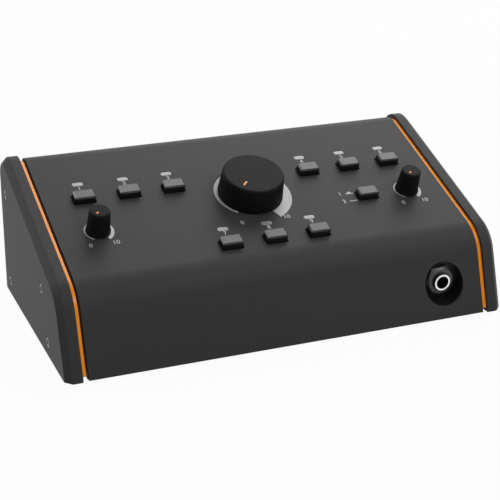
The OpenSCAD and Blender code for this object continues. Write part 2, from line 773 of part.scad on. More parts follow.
// The pointer's bar lies flush in the knob's top, and points down the slope before it is turned
module pointer_bar(outer, length, h, gap) {
    rotate([0, 0, -pointer_rest]) translate([0, -outer + length / 2, h - pointer_depth - gap])
        rotate([0, 0, 90]) slot(length + 2 * gap, pointer_w + 2 * gap, 0, pointer_depth + gap);
}
module knob(place, r, top_r, h, outer, length) {
    foot = [r, knob_lift];
    shoulder = [top_r, h];
    color([0.1, 0.1, 0.105])
    on_top(place) difference() {
        rotate_extrude() polygon(concat([[0, knob_lift], foot], arc_at(foot, shoulder, [0, h], knob_edge),
            [[0, h]]));
        translate([0, 0, knob_lift - eps]) cylinder(r = knob_pocket_r, h = knob_pocket_h - knob_lift);
        cylinder(r = shaft_r + seat_gap, h = shaft_h + seat_gap);
        translate([0, 0, seat_gap]) pointer_bar(outer, length, h, seat_gap);
    }
}
module pointer(place, h, outer, length) {
    color([0.9, 0.5, 0.15])
    on_top(place) pointer_bar(outer, length, h, 0);
}
module recess_cup() {
    color([0.05, 0.05, 0.05])
    difference() {
        union() {
            intersection() {
                along_y(phones_x, toe.x, cup_back, phones_axis_z, cup_r);
                on_front(phones_x, phones_w, -sheet_t - far) translate([-far / 2, -far / 2, 0]) cube(far);
            }
            intersection() {
                along_y(phones_x, toe.x, cup_front, phones_axis_z, cup_r + cup_rim);
                on_front(phones_x, phones_w, -sheet_t - cup_wall) translate([-far / 2, -far / 2, 0])
                    cube([far, far, cup_wall]);
            }
        }
        along_y(phones_x, toe.x - 1, cup_front, phones_axis_z, recess_r);
        along_y(phones_x, toe.x, cup_back + 1, phones_axis_z, bush_r + fit_gap);
    }
}
module phones_body() {
    half = phones_body_w / 2;
    body_back = cup_back + phones_body_len;
    slot_w = leaf_w / 2 + leaf_slot_gap;
    color([0.08, 0.08, 0.085])
    difference() {
        box([phones_x - half, cup_back, phones_axis_z - half],
            [phones_x + half, body_back, phones_axis_z + half]);
        along_y(phones_x, cup_back - 1, body_back - jack_wall, phones_axis_z, bore_r + jack_bore_gap);
        box([phones_x - slot_w, cup_back + jack_slot_in, phones_axis_z - half - 1],
            [phones_x + slot_w, body_back - jack_slot_in, phones_axis_z + half + 1]);
    }
}
module phones_bush() {
    color([0.85, 0.85, 0.87])
    difference() {
        along_y(phones_x, bush_end, cup_back, phones_axis_z, bush_r);
        along_y(phones_x, bush_end - 1, cup_back + 1, phones_axis_z, bore_r);
    }
}
module phones_nut() {
    color([0.06, 0.06, 0.06])
    translate([phones_x, cup_front, phones_axis_z]) rotate([90, 0, 0]) rotate([0, 0, phones_nut_turn])
        hex_nut(phones_nut_af, phones_nut_t, bush_r + seat_gap);
}
module phones_contacts() {
    leaf_z = bore_r + leaf_up;
    leaf_back = cup_back + phones_body_len - jack_slot_in - leaf_gap;
    color([0.8, 0.68, 0.35])
    for (side = [0, 1]) translate([phones_x, 0, phones_axis_z]) mirror([0, 0, side]) {
        box([-leaf_w / 2, cup_back + leaf_in, leaf_z], [leaf_w / 2, leaf_back, leaf_z + leaf_t]);
        box([-leaf_w / 2, leaf_back - leaf_t, leaf_z],
            [leaf_w / 2, leaf_back, phones_body_w / 2 + leaf_past]);
    }
}
module rear_jack(i) {
    x = REAR_JACKS[i - 1];
    half = rear_body_w / 2;
    color([0.08, 0.08, 0.085])
    difference() {
        union() {
            box([x - half, panel_in - rear_body_len, main_board_top], [x + half, panel_in, rear_z + half]);
            along_y(x, panel_in - eps, rear_bush_end, rear_z, bush_r);
        }
        along_y(x, panel_in - rear_body_len + jack_wall, rear_bush_end + 1, rear_z, bore_r);
    }
}
module rear_jack_nuts() {
    color([0.1, 0.1, 0.1])
    for (x = REAR_JACKS) translate([x, panel_out, rear_z]) rotate([-90, 0, 0])
        hex_nut(rear_nut_af, rear_nut_t, bush_r + seat_gap);
}
module aux_socket() {
    half = aux_body_w / 2;
    front = panel_in - aux_body_len;
    color([0.08, 0.08, 0.085])
    difference() {
        union() {
            box([aux_x - half, front, main_board_top], [aux_x + half, panel_in, rear_z + half]);
            along_y(aux_x, panel_in - eps, panel_out + aux_proud, rear_z, aux_bush_r);
        }
        along_y(aux_x, front + aux_wall, panel_out + aux_proud + 1, rear_z, aux_bore_r);
    }
}
module power_inlet() {
    half = power_body_w / 2;
    collar_end = panel_out + power_proud;
    color([0.08, 0.08, 0.085])
    difference() {
        union() {
            box([power_x - half, panel_in - power_body_len, main_board_top],
                [power_x + half, panel_in, rear_z + half]);
            along_y(power_x, panel_in - eps, collar_end, rear_z, power_r);
        }
        difference() {
            along_y(power_x, panel_in - power_depth, collar_end + 1, rear_z, power_bore_r);
            along_y(power_x, panel_in - power_depth - 1, panel_out, rear_z, power_pin_r);
        }
    }
}
module main_knob() {
    knob(KNOBS[0], main_r, main_top_r, main_h, main_pointer_out, main_pointer_len);
}
module side_knob(place) {
    knob(place, side_r, side_top_r, side_h, side_pointer_out, side_pointer_len);
}

top_shell();
mirror([1, 0, 0]) end_wall();  // left_end_wall
end_wall();  // right_end_wall
base_plate();
rear_panel();
mirror([1, 0, 0]) side_plate();  // left_side_plate
side_plate();  // right_side_plate
mirror([1, 0, 0]) cheek();  // left_cheek
cheek();  // right_cheek
mirror([1, 0, 0]) cheek_screws();  // left_cheek_screws
cheek_screws();  // right_cheek_screws
base_screws();
rear_screws();
rubber_feet();
control_board();
main_board();
board_spacers();
board_screws();
ribbon_cable();
ribbon_headers();
light_windows();
light_chips();
switch_bodies();
control(KNOBS[0], main_pot_w);  // main_control
control(KNOBS[1], side_pot_w);  // left_control
control(KNOBS[2], side_pot_w);  // right_control
control_nuts();
recess_cup();
phones_body();
phones_bush();
phones_nut();
phones_contacts();
rear_jack(1);  // rear_jack_1
rear_jack(2);  // rear_jack_2
rear_jack(3);  // rear_jack_3
rear_jack(4);  // rear_jack_4
rear_jack(5);  // rear_jack_5
rear_jack(6);  // rear_jack_6
rear_jack_nuts();
aux_socket();
power_inlet();
main_knob();
shaft(KNOBS[0]);  // main_shaft
pointer(KNOBS[0], main_h, main_pointer_out, main_pointer_len);  // main_pointer
side_knob(KNOBS[1]);  // left_knob
shaft(KNOBS[1]);  // left_shaft
pointer(KNOBS[1], side_h, side_pointer_out, side_pointer_len);  // left_pointer
side_knob(KNOBS[2]);  // right_knob
shaft(KNOBS[2]);  // right_shaft
pointer(KNOBS[2], side_h, side_pointer_out, side_pointer_len);  // right_pointer
button(BUTTONS[0]);  // upper_button_1
button(BUTTONS[1]);  // upper_button_2
button(BUTTONS[2]);  // upper_button_3
button(BUTTONS[3]);  // upper_button_4
button(BUTTONS[4]);  // upper_button_5
button(BUTTONS[5]);  // upper_button_6
button(BUTTONS[6]);  // lower_button_1
button(BUTTONS[7]);  // lower_button_2
button(BUTTONS[8]);  // lower_button_3
button(SELECTOR);  // selector_button
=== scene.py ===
import math
from contextlib import contextmanager
from functools import cached_property

import bmesh
import bpy
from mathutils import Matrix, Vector


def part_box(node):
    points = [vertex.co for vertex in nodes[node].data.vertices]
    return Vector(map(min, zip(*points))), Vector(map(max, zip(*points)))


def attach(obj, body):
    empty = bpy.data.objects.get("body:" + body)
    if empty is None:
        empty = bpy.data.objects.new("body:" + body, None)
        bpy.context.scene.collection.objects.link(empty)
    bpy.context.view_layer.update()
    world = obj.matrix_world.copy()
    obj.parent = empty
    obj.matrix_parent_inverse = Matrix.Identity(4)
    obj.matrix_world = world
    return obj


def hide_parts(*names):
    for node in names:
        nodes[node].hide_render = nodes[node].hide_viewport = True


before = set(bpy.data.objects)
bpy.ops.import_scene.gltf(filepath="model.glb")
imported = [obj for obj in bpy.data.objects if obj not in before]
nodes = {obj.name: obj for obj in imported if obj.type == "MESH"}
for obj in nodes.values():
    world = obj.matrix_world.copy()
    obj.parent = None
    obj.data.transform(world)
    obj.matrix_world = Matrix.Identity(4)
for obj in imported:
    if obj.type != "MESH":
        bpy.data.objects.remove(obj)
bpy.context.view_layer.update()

# ---------------------------------------------------------------------------
# Sizes, in metres. The ends of things come from the frame; the bends, leans and
# small sizes that a box can't give are named here.
# ---------------------------------------------------------------------------

MM = 0.001

# the sheet metal: the top's slope and the front's lean, their lengths from corner to corner,
# the bends, and the lip that hangs behind
SLOPE = math.radians(19.5)
LEAN = math.radians(71.3)
FRONT = 39.5 * MM
TOP = 108 * MM
BEND_R = 20 * MM
BACK_R = 9.3 * MM
BACK_LIP = 5 * MM
SHEET = 1.2 * MM
BEND_STEPS = 24

# the cheeks, and the orange plates with the pads that hold them off the metal
CHEEK_FOOT_R = 1 * MM
CHEEK_FRONT_REACH = 1.46
CHEEK_BACK_R = 11 * MM
CHAMFER = 2.9 * MM
RIM_PROUD = 0.35 * MM
PAD_H = 0.45 * MM
PAD_R = 4 * MM
PLATE_INSET = 1.2 * MM

# clearances, and how far a cutter reaches past the face that it cuts
LOOSE = 0.15 * MM
SNUG = 0.02 * MM
PAST = 1 * MM

# screws and feet
SCREW_R = 1.5 * MM
HEAD_R = 2.8 * MM
HEAD_H = 1.7 * MM
HEAD_ROUND = 0.4 * MM
SOCKET = 2 * MM
FOOT_R = 6.5 * MM
FOOT_ROUND = 0.7 * MM
FOOT_RIM = 1.8 * MM
FOOT_DISH = 0.5 * MM

# where the dials, buttons and windows stand: across, and up the slope from the bend
MAIN_UP = 50.2 * MM
SIDE_UP = 38 * MM
SIDE_X = 80.2 * MM
PITCH = 22.3 * MM
UPPER_X = 58 * MM
UPPER_UP = 61.8 * MM
LOWER_UP = 16.4 * MM
LIGHT_UP = 11.4 * MM

# buttons and windows: the low ends are heights over the metal
BUTTON_W = 10.2 * MM
BUTTON_D = 6.4 * MM
BUTTON_H = 3.5 * MM
BUTTON_LOW = -2 * MM
BUTTON_GAP = 0.45 * MM
BUTTON_CORNER = 0.8 * MM
BUTTON_BEVEL = 0.65 * MM
STEM_W = 3 * MM
STEM_LOW = -6.3 * MM
LIGHT_W = 5.6 * MM
LIGHT_D = 2.8 * MM
LIGHT_CORNER = 1.1 * MM
LIGHT_GAP = 0.05 * MM
LIGHT_LOW = -7 * MM
LIGHT_ROUND = 0.3 * MM
TOP_HOLE = 3 * MM

# knobs and their pointers; SIDE_WAIST is the small knobs' flank, its heights and radii in millimetres
BUSHING_R = 3.15 * MM
KNOB_LIFT = 0.7 * MM
POCKET_R = 5 * MM
POCKET_H = 3 * MM
POCKET_EDGE = 0.25 * MM
POINTER_W = 0.9 * MM
POINTER_DEPTH = 0.8 * MM
POINTER_REST = math.radians(45)
SIDE_WAIST = [(1.2, 5.83), (1.8, 5.68), (2.5, 5.55), (3.4, 5.44), (4.6, 5.35), (6.2, 5.26), (8.4, 5.15)]

# jacks, sockets and nuts; NUT_TOP is a nut's turned top, its radius as a share of the flats
RECESS_R = 10.4 * MM
RECESS_DEEP = 11 * MM
CUP_WALL = 1.2 * MM
BUSH_R = 4.45 * MM
BORE_R = 3.2 * MM
RING_R = 4.13 * MM
RING_T = 0.35 * MM
PHONES_NUT = 14 * MM
PHONES_NUT_TURN = math.radians(5)
REAR_NUT = 12.5 * MM
NUT_TOP = 0.45
NUT_MOUTH = 0.5 * MM
JACK_DEPTH = 24 * MM
AUX_BUSH_R = 2.9 * MM
AUX_BORE_R = 1.8 * MM
AUX_DEPTH = 14 * MM
POWER_R = 4.5 * MM
POWER_BORE_R = 3.2 * MM
POWER_DEPTH = 11 * MM
POWER_PIN_R = 1 * MM
POWER_PIN_ROUND = 0.4 * MM
HOUSING_RIM = 1.2 * MM
HOUSING_DIP = 0.5 * MM

# prints: how high they stand on the metal, the share of a font's size that a figure takes, and
# how far figures stand from what they number
PRINT = 0.03 * MM
ARC_STEPS = 96
FIGURE = 2.5 * MM
FIGURE_SHARE = 0.7
FIGURE_SPREAD = 0.05 * MM
FIGURE_UP = 8.1 * MM
REAR_FIGURE_UP = 10 * MM
DIAL_FIGURES = {"main": (11.5 * MM, 20 * MM), "left": (6 * MM, 9.3 * MM), "right": (6 * MM, 9.3 * MM)}

# the selector's two marks: for out a bar with a raised block, for in a bar alone
MARK_X = 49.5 * MM
MARK_W = 4.1 * MM
MARK_D = 0.6 * MM
MARK_OUT = 40.7 * MM
MARK_IN = 35.1 * MM
RAISED_W = 1.9 * MM
RAISED_D = 1.1 * MM
MARK_FIGURE_X = 44.6 * MM
MARK_FIGURES = {1: 41.1 * MM, 2: 35.3 * MM}

# the photograph's camera, and how much the room lights what a camera ray or a gloss doesn't see
CAMERA_PLACE = (-0.23621, -0.57059, 0.2821)
CAMERA_TURN = (67.6484, -0.59503, -22.23288)
CAMERA_LENS = 97.104
ROOM = 0.15


def along(angle):
    """The way that runs backwards and up at this angle, in the side view."""
    return Vector((0, math.cos(angle), math.sin(angle)))


def off(angle):
    """The way square to along(angle), on its upper side."""
    return Vector((0, -math.sin(angle), math.cos(angle)))


def meet(point, angle, other, turned):
    """Where the line through point at angle crosses the line through other at turned."""
    gap = other - point
    way = along(turned)
    return point + along(angle) * (gap.y * way.z - gap.z * way.y) / math.sin(turned - angle)


shell_low, shell_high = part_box("top_shell")
HALF = shell_high.x
TOE = Vector((0, shell_low.y, shell_low.z))
BEND = TOE + along(LEAN) * FRONT
BACK = BEND + along(SLOPE) * TOP
UP = off(SLOPE)


def on_top(x, s, h=0):
    """A place on the top: x across, s up the slope from the bend, h above the metal."""
    return BEND + Vector((x, 0, 0)) + along(SLOPE) * s + UP * h


COLUMNS = [middle + i * PITCH for middle in (-UPPER_X, UPPER_X) for i in (-1, 0, 1)]
BUTTONS = {f"upper_button_{i + 1}": (x, UPPER_UP) for i, x in enumerate(COLUMNS)}
BUTTONS.update({f"lower_button_{i + 2}": (i * PITCH, LOWER_UP) for i in (-1, 0, 1)})
SELECTOR = (UPPER_X, SIDE_UP)
KNOBS = {"main": (0, MAIN_UP), "left": (-SIDE_X, SIDE_UP), "right": (SIDE_X, SIDE_UP)}
bush_low, bush_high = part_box("phones_bush")
PHONES_X, PHONES_Z = (bush_low.x + bush_high.x) / 2, (bush_low.z + bush_high.z) / 2

# ---------------------------------------------------------------------------
# Working by hand: one object open at a time, picked by place or normal
# ---------------------------------------------------------------------------


def let_go():
    """Leaves edit mode and selects nothing."""
    if bpy.context.object and bpy.context.object.mode != "OBJECT":
        bpy.ops.object.mode_set(mode="OBJECT")
    bpy.ops.object.select_all(action="DESELECT")


def take(*pieces):
    """Selects these pieces alone, the first of them as the active one."""
    let_go()
    for piece in pieces:
        piece.select_set(True)
    bpy.context.view_layer.objects.active = pieces[0]


def begin(name, kind, scale=(1, 1, 1), **size):
    """A named primitive at its place, with its place, turn and scale in its mesh."""
    let_go()
    getattr(bpy.ops.mesh, f"primitive_{kind}_add")(**size)
    piece = bpy.context.object
    piece.scale = scale
    piece.name = piece.data.name = name
    bpy.ops.object.transform_apply(location=True, rotation=True, scale=True)
    return piece


@contextmanager
def editing(piece):
    """Opens one piece in edit mode, with nothing in it selected."""
    take(piece)
    bpy.ops.object.mode_set(mode="EDIT")
    bpy.ops.mesh.select_all(action="DESELECT")
    yield
    bpy.ops.object.mode_set(mode="OBJECT")


def pick(kind, rule):
    """Picks the open mesh's faces by middle and normal, edges by both ends, or verts by place."""
    bpy.ops.mesh.select_mode(type=kind)
    bpy.ops.mesh.select_all(action="DESELECT")
    mesh = bpy.context.object.data
    grid = bmesh.from_edit_mesh(mesh)
    if kind == "FACE":
        found = [f for f in grid.faces if rule(f.calc_center_median(), f.normal)]
    elif kind == "EDGE":
        found = [e for e in grid.edges if rule(e.verts[0].co, e.verts[1].co)]
    else:
        found = [v for v in grid.verts if rule(v.co)]
    for part in found:
        part.select_set(True)
    grid.select_flush_mode()
    bmesh.update_edit_mesh(mesh)


def pick_all():
    bpy.ops.mesh.select_all(action="SELECT")


def underside(middle, normal):
    """A rule that picks the faces that look straight down."""
    return normal.z < -0.9


def close(a, b, within=1e-6):
    return abs(a - b) < within


def ring_pick(height):
    """A rule that picks the edges lying at a height."""
    return lambda a, b: close(a.z, height) and close(b.z, height)


def change(piece, kind, **settings):
    """Adds a modifier and applies it."""
    take(piece)
    modifier = piece.modifiers.new(kind.title(), kind)
    for name, value in settings.items():
        setattr(modifier, name, value)
    bpy.ops.object.modifier_apply(modifier=modifier.name)


def soften(piece, width, angle=30):
    """Rounds the edges sharper than angle, then shades the piece."""
    change(piece, "BEVEL", width=width, segments=2, limit_method="ANGLE",
           angle_limit=math.radians(angle), use_clamp_overlap=True, miter_outer="MITER_ARC")
    return shade(piece, angle)


def shade(piece, angle=30):
    """Shades the rounds smooth and keeps the flats flat."""
    take(piece)
    bpy.ops.object.shade_smooth_by_angle(angle=math.radians(angle), keep_sharp_edges=False)
    change(piece, "WEIGHTED_NORMAL", weight=80, keep_sharp=True)
    return piece


def join(name, pieces):
    """Makes the pieces one object of that name."""
    pieces = list(pieces)
    take(*pieces)
    if len(pieces) > 1:
        bpy.ops.object.join()
    whole = bpy.context.object
    whole.name = whole.data.name = name
    return whole


def cut(piece, cutters, operation="DIFFERENCE"):
    """Cuts all the cutters out of the piece at once, or joins them to it, and throws them away."""
    tool = join("cutter", cutters)
    change(piece, "BOOLEAN", object=tool, operation=operation, solver="EXACT")
    bpy.data.objects.remove(tool)


def copy(piece, name):
    """A copy of the piece, with a mesh of its own."""
    take(piece)
    bpy.ops.object.duplicate(linked=False)
    double = bpy.context.object
    double.name = double.data.name = name
    return double


def put(piece, place, turn=(SLOPE, 0, 0)):
    """Turns a piece that was made upright at the origin, moves it to its place and fixes it there."""
    take(piece)
    piece.rotation_euler = turn
    piece.location = place
    bpy.ops.object.transform_apply(location=True, rotation=True, scale=True)
    return piece


def tube(name, x, z, low, high, radius, sides=96):
    """A cylinder along Y from low to high."""
    return begin(name, "cylinder", vertices=sides, radius=radius, depth=high - low,
                 location=(x, (low + high) / 2, z), rotation=(math.pi / 2, 0, 0))


def mirrored(piece, name):
    """The same piece for the other end, turned right side out again."""
    double = copy(piece, name)
    double.scale = (-1, 1, 1)
    bpy.ops.object.transform_apply(location=True, rotation=True, scale=True)
    with editing(double):
        pick_all()
        bpy.ops.mesh.normals_make_consistent(inside=False)
    return shade(double)


def strip(name, low_x, high_x, points, radii, closed=False):
    """A strip across x: a plane on the first straight, drawn on along straights and spun round bends.

    points are corners in the side view and radii their bends, with 0 for a sharp corner. A closed
    strip starts after corner 0 and ends with its bend."""
    count = len(points)
    order = list(range(1, count)) + [0] if closed else range(1, count - 1)

    def heading(i):
        way = points[(i + 1) % count] - points[i]
        return math.atan2(way.z, way.y)

    def turn(i):
        return (heading(i) - heading((i - 1) % count) + math.pi) % (2 * math.pi) - math.pi

    def run_in(i):
        if not closed and i in (0, count - 1):
            return 0
        return radii[i] * math.tan(abs(turn(i)) / 2)

    angle = heading(0)
    first = (points[1] - points[0]).length - run_in(0) - run_in(1)
    tip = points[0] + along(angle) * run_in(0)
    piece = begin(name, "plane", size=1, location=tip + along(angle) * first / 2 +
                  Vector(((low_x + high_x) / 2, 0, 0)), rotation=(angle, 0, 0))
    with editing(piece):
        pick_all()
        middle = tip + along(angle) * first / 2
        bpy.ops.transform.resize(value=(high_x - low_x, 1, 1), center_override=(
            (low_x + high_x) / 2, middle.y, middle.z))
        for side in (-1, 1):
            pick("VERT", lambda v: side * (v - middle).dot(along(angle)) > 0)
            bpy.ops.transform.translate(value=along(angle) * side * (first - 1) / 2)
        tip = tip + along(angle) * first
        pick("EDGE", lambda a, b: close((a - tip).dot(along(angle)), 0) and
             close((b - tip).dot(along(angle)), 0))
        for i in order:
            bend = turn(i)
            if radii[i] > 0:
                side = math.copysign(1, bend)
                centre = tip + off(angle) * side * radii[i]
                bpy.ops.mesh.spin(steps=BEND_STEPS, angle=-bend, center=centre, axis=(1, 0, 0))
                tip = centre - off(angle + bend) * side * radii[i]
            angle += bend
            if i:
                step = along(angle) * ((points[(i + 1) % count] - points[i]).length -
                                       run_in(i) - run_in((i + 1) % count))
                bpy.ops.mesh.extrude_edges_move(TRANSFORM_OT_translate={"value": step})
                tip = tip + step
        pick_all()
        bpy.ops.mesh.remove_doubles(threshold=1e-6)
        if closed:
            for x in (low_x, high_x):
                pick("EDGE", lambda a, b: close(a.x, x) and close(b.x, x))
                bpy.ops.mesh.edge_face_add()
        pick_all()
        bpy.ops.mesh.normals_make_consistent(inside=False)
    return piece


# ---------------------------------------------------------------------------
# Finishes: shader maths written as expressions
# ---------------------------------------------------------------------------


class Wire:
    """A node's output. Sums and products of these add the Math nodes that they need."""

    def __init__(self, finish, socket):
        self.finish = finish
        self.socket = socket

    def math(self, operation, *others):
        return self.finish.add("ShaderNodeMath", {"operation": operation},
                               dict(enumerate((self, *others))))

    def __add__(self, other):
        return self.math("ADD", other)

    def __mul__(self, other):
        return self.math("MULTIPLY", other)

    __radd__ = __add__
    __rmul__ = __mul__


class Finish:
    """A node tree of plain words: a material on Object coordinates, or the world."""

    def __init__(self, name, store=bpy.data.materials):
        self.made = store.new(name)
        self.made.use_nodes = True
        self.tree = self.made.node_tree
        self.tree.nodes.clear()

    @cached_property
    def place(self):
        return self.add("ShaderNodeTexCoord", {}, {}, "Object")

    def add(self, kind, settings, values, output=0):
        """A node of any kind: its settings first, then values or links for its sockets."""
        node = self.tree.nodes.new(kind)
        for name, value in settings.items():
            setattr(node, name, value)
        for name, value in values.items():
            if isinstance(value, Wire):
                self.tree.links.new(value.socket, node.inputs[name])
            else:
                node.inputs[name].default_value = value
        return Wire(self, node.outputs[output] if node.outputs else None)

    def noise(self, grain, detail, where=None):
        """A cloud of noise with a grain this many metres across."""
        return self.add("ShaderNodeTexNoise", {},
                        {"Vector": where or self.place, "Scale": 1 / grain, "Detail": detail}, 0)

    def cells(self, grain):
        """Round flecks this many metres apart."""
        return self.add("ShaderNodeTexVoronoi", {}, {"Vector": self.place, "Scale": 1 / grain}, 0)

    def blend(self, factor, low, high):
        """A colour between low and high."""
        return self.add("ShaderNodeMix", {"data_type": "RGBA"}, {0: factor, 6: low, 7: high}, 2)

    def relief(self, height, depth, strength):
        """A bump this many metres deep."""
        return self.add("ShaderNodeBump", {}, {
            "Height": height, "Distance": depth, "Strength": strength})

    def surface(self, **values):
        """The finished material: a principled surface with these sockets filled."""
        return self.shown(self.add("ShaderNodeBsdfPrincipled", {}, {
            name.replace("_", " "): value for name, value in values.items()}))

    def shown(self, shader, kind="ShaderNodeOutputMaterial"):
        self.add(kind, {}, {0: shader})
        return self.made

    def background_rays(self):
        """1 for a ray that shows the plain background: the camera's, or a gloss or clear part's."""
        camera, gloss, clear = (self.add("ShaderNodeLightPath", {}, {}, ray) for ray in (
            "Is Camera Ray", "Is Glossy Ray", "Is Transmission Ray"))
        return camera.math("MAXIMUM", gloss.math("MAXIMUM", clear))


def grey(value):
    return (value, value, value, 1)


def shaded(colour, share):
    """The colour made lighter or darker by a share."""
    return tuple(part * share for part in colour[:3]) + (1,)


def powder_coat(name, colour, grain=0.35 * MM, shine=0.09):
    """Fine textured powder coat: an even orange peel, a faint cloud and dust-fine sparkle."""
    coat = Finish(name)
    peel = coat.noise(grain, 3)
    fleck = coat.cells(grain * 0.6)
    cloud = coat.noise(22 * MM, 2)
    tone = coat.blend(cloud * 0.6 + peel * 0.3 + fleck * 0.1, shaded(colour, 0.92), shaded(colour, 1.08))
    return coat.surface(
        Base_Color=tone, Roughness=peel * 0.12 + 0.44, Specular_IOR_Level=shine,
        Normal=coat.relief(peel, depth=0.012 * MM, strength=0.8))


def moulded(name, colour, rough=0.45, grain=0.2 * MM, shine=0.3, depth=0.006 * MM):
    """Moulded plastic or rubber with a fine spark-eroded skin."""
    skin = Finish(name)
    fine = skin.noise(grain, 2)
    cloud = skin.noise(9 * MM, 2)
    return skin.surface(
        Base_Color=skin.blend(cloud, shaded(colour, 0.92), shaded(colour, 1.08)),
        Roughness=fine * 0.1 + (rough - 0.05), Specular_IOR_Level=shine,
        Normal=skin.relief(fine, depth=depth, strength=0.7))


def enamel(name, low, high):
    """Smooth glossy enamel over metal, with a painted glow: an orange emission makes it brighter than the
    lamps light it.
    """
    coat = Finish(name)
    cloud = coat.noise(30 * MM, 2)
    ripple = coat.noise(1.6 * MM, 1)
    return coat.surface(
        Base_Color=coat.blend(cloud, low, high), Roughness=ripple * 0.08 + 0.26,
        Specular_IOR_Level=0.2, Coat_Weight=0.18, Coat_Roughness=0.06,
        # painted glow: this emission adds orange light that no lamp gives
        Emission_Color=(1.0, 0.27, 0.0, 1), Emission_Strength=0.24,
        Normal=coat.relief(ripple, depth=0.006 * MM, strength=0.5))


def bare_metal(name, colour, rough):
    """Turned or rolled metal: a fine drawn grain and a few dull patches."""
    metal = Finish(name)
    drawn = metal.add("ShaderNodeMapping", {}, {"Vector": metal.place, "Scale": (1, 14, 1)})
    lines = metal.noise(0.25 * MM, 2, drawn)
    dull = metal.noise(4 * MM, 3)
    return metal.surface(
        Base_Color=metal.blend(dull, shaded(colour, 0.86), colour), Metallic=1.0,
        Roughness=lines * 0.12 + dull * 0.1 + (rough - 0.11),
        Normal=metal.relief(lines, depth=0.002 * MM, strength=0.5))


def solder_mask(name):
    """Green board with copper traces that show through the mask."""
    board = Finish(name)
    weave = board.noise(0.4 * MM, 2)
    lanes = board.add("ShaderNodeTexBrick", {"offset": 0.5}, {
        "Vector": board.place, "Scale": 60.0, "Mortar Size": 0.012, "Color1": (0, 0, 0, 1),
        "Color2": (0, 0, 0, 1), "Mortar": (1, 1, 1, 1)}, 0)
    trace = board.add("ShaderNodeRGBToBW", {}, {"Color": lanes})
    under = board.blend(weave, (0.006, 0.06, 0.02, 1), (0.009, 0.085, 0.03, 1))
    return board.surface(
        Base_Color=board.blend(trace * 0.7, under, (0.02, 0.2, 0.06, 1)), Roughness=0.35,
        Normal=board.relief(trace, depth=0.03 * MM, strength=0.6))


def flat_cable(name):
    """A grey ribbon of side-by-side wires."""
    ribbon = Finish(name)
    wires = ribbon.add("ShaderNodeTexWave", {"wave_type": "BANDS", "bands_direction": "X"},
                       {"Vector": ribbon.place, "Scale": 125.0, "Distortion": 0.0}, 1)
    return ribbon.surface(
        Base_Color=ribbon.blend(wires, grey(0.24), grey(0.42)), Roughness=0.5,
        Normal=ribbon.relief(wires, depth=0.2 * MM, strength=0.6))


def milky(name):
    """Unlit light pipe: milky clear plastic."""
    pipe = Finish(name)
    cloud = pipe.noise(1.5 * MM, 3)
    return pipe.surface(
        Base_Color=pipe.blend(cloud, (0.21, 0.21, 0.2, 1), (0.29, 0.29, 0.28, 1)),
        Roughness=cloud * 0.1 + 0.3, Coat_Weight=0.2, Coat_Roughness=0.15,
        Normal=pipe.relief(cloud, depth=0.02 * MM, strength=0.3))


def ink(name, colour):
    """Screen print: a thin, slightly uneven layer."""
    layer = Finish(name)
    mottle = layer.noise(0.5 * MM, 3)
    return layer.surface(
        Base_Color=layer.blend(mottle, shaded(colour, 0.88), shaded(colour, 1.06)),
        Roughness=mottle * 0.15 + 0.42, Specular_IOR_Level=0.2,
        Normal=layer.relief(mottle, depth=0.01 * MM, strength=0.5))


CONSOLE = powder_coat("console_powder_coat", grey(0.047))
PLATE = powder_coat("plate_powder_coat", grey(0.04))
CHEEK = powder_coat("cheek_satin", grey(0.05), grain=0.3 * MM, shine=0.07)
# the orange plates' enamel, with a painted glow from its emission
ORANGE_PAINTED_GLOW = enamel("orange_enamel_painted_glow", (0.7, 0.22, 0.003, 1), (0.78, 0.25, 0.005, 1))
KNOB = moulded("knob_soft_touch", grey(0.006), rough=0.55, shine=0.07)
BUTTON = moulded("button_grey", grey(0.01), rough=0.3, shine=0.37)
POINTER = moulded("pointer_orange", (1.0, 0.32, 0.05, 1), rough=0.4)
SCALE_INK = ink("scale_ink", grey(0.55))
MARK_INK = ink("mark_ink", grey(0.5))
WINDOW = milky("milky_window")
CHIP = moulded("light_chip_clear", (0.7, 0.66, 0.42, 1), rough=0.2, shine=0.5)
SOCKET_BLACK = moulded("socket_black", grey(0.008), rough=0.4, shine=0.2)
RUBBER = moulded("foot_rubber", grey(0.016), rough=0.8, grain=0.5 * MM, shine=0.2, depth=0.03 * MM)
BLACK_OXIDE = bare_metal("black_oxide", (0.022, 0.022, 0.023, 1), rough=0.3)
BLACK_NUT = moulded("black_nut", grey(0.05), rough=0.36, shine=0.5)
# black for the thread, and on the bore's inner wall as painted shade of the deep bore
THREAD_AND_BORE_SHADE = moulded("black_thread_and_painted_bore_shade", grey(0.006), rough=0.4, shine=0.15)
CHROME = bare_metal("bright_bush", (0.86, 0.86, 0.87, 1), rough=0.18)
STEEL = bare_metal("zinc_steel", (0.55, 0.55, 0.57, 1), rough=0.35)
ALLOY = bare_metal("shaft_alloy", (0.66, 0.66, 0.67, 1), rough=0.3)
BRASS = bare_metal("turned_brass", (0.62, 0.46, 0.17, 1), rough=0.3)
CONTACT = bare_metal("contact_brass", (0.7, 0.55, 0.25, 1), rough=0.25)
BOARD = solder_mask("circuit_board")
RIBBON = flat_cable("ribbon_grey")
CONTROL = moulded("control_body_green", (0.03, 0.12, 0.06, 1), rough=0.4)


def dress(piece, material):
    """Gives a piece this material alone."""
    piece.data.materials.clear()
    piece.data.materials.append(material)


def fit_out(piece, material, body, slot, *stands_for):
    """Gives a finished piece its material, the body it moves with and the nodes it stands for."""
    dress(piece, material)
    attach(piece, body)
    if stands_for:
        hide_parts(*stands_for)


# ---------------------------------------------------------------------------
# Camera, floor and light
# ---------------------------------------------------------------------------

bpy.ops.object.camera_add(location=CAMERA_PLACE, rotation=[math.radians(a) for a in CAMERA_TURN])
camera = bpy.context.object
camera.name = "photo_camera"
camera.data.sensor_width = 36
camera.data.lens = CAMERA_LENS
bpy.context.scene.camera = camera
bpy.context.scene.view_settings.view_transform = "Standard"


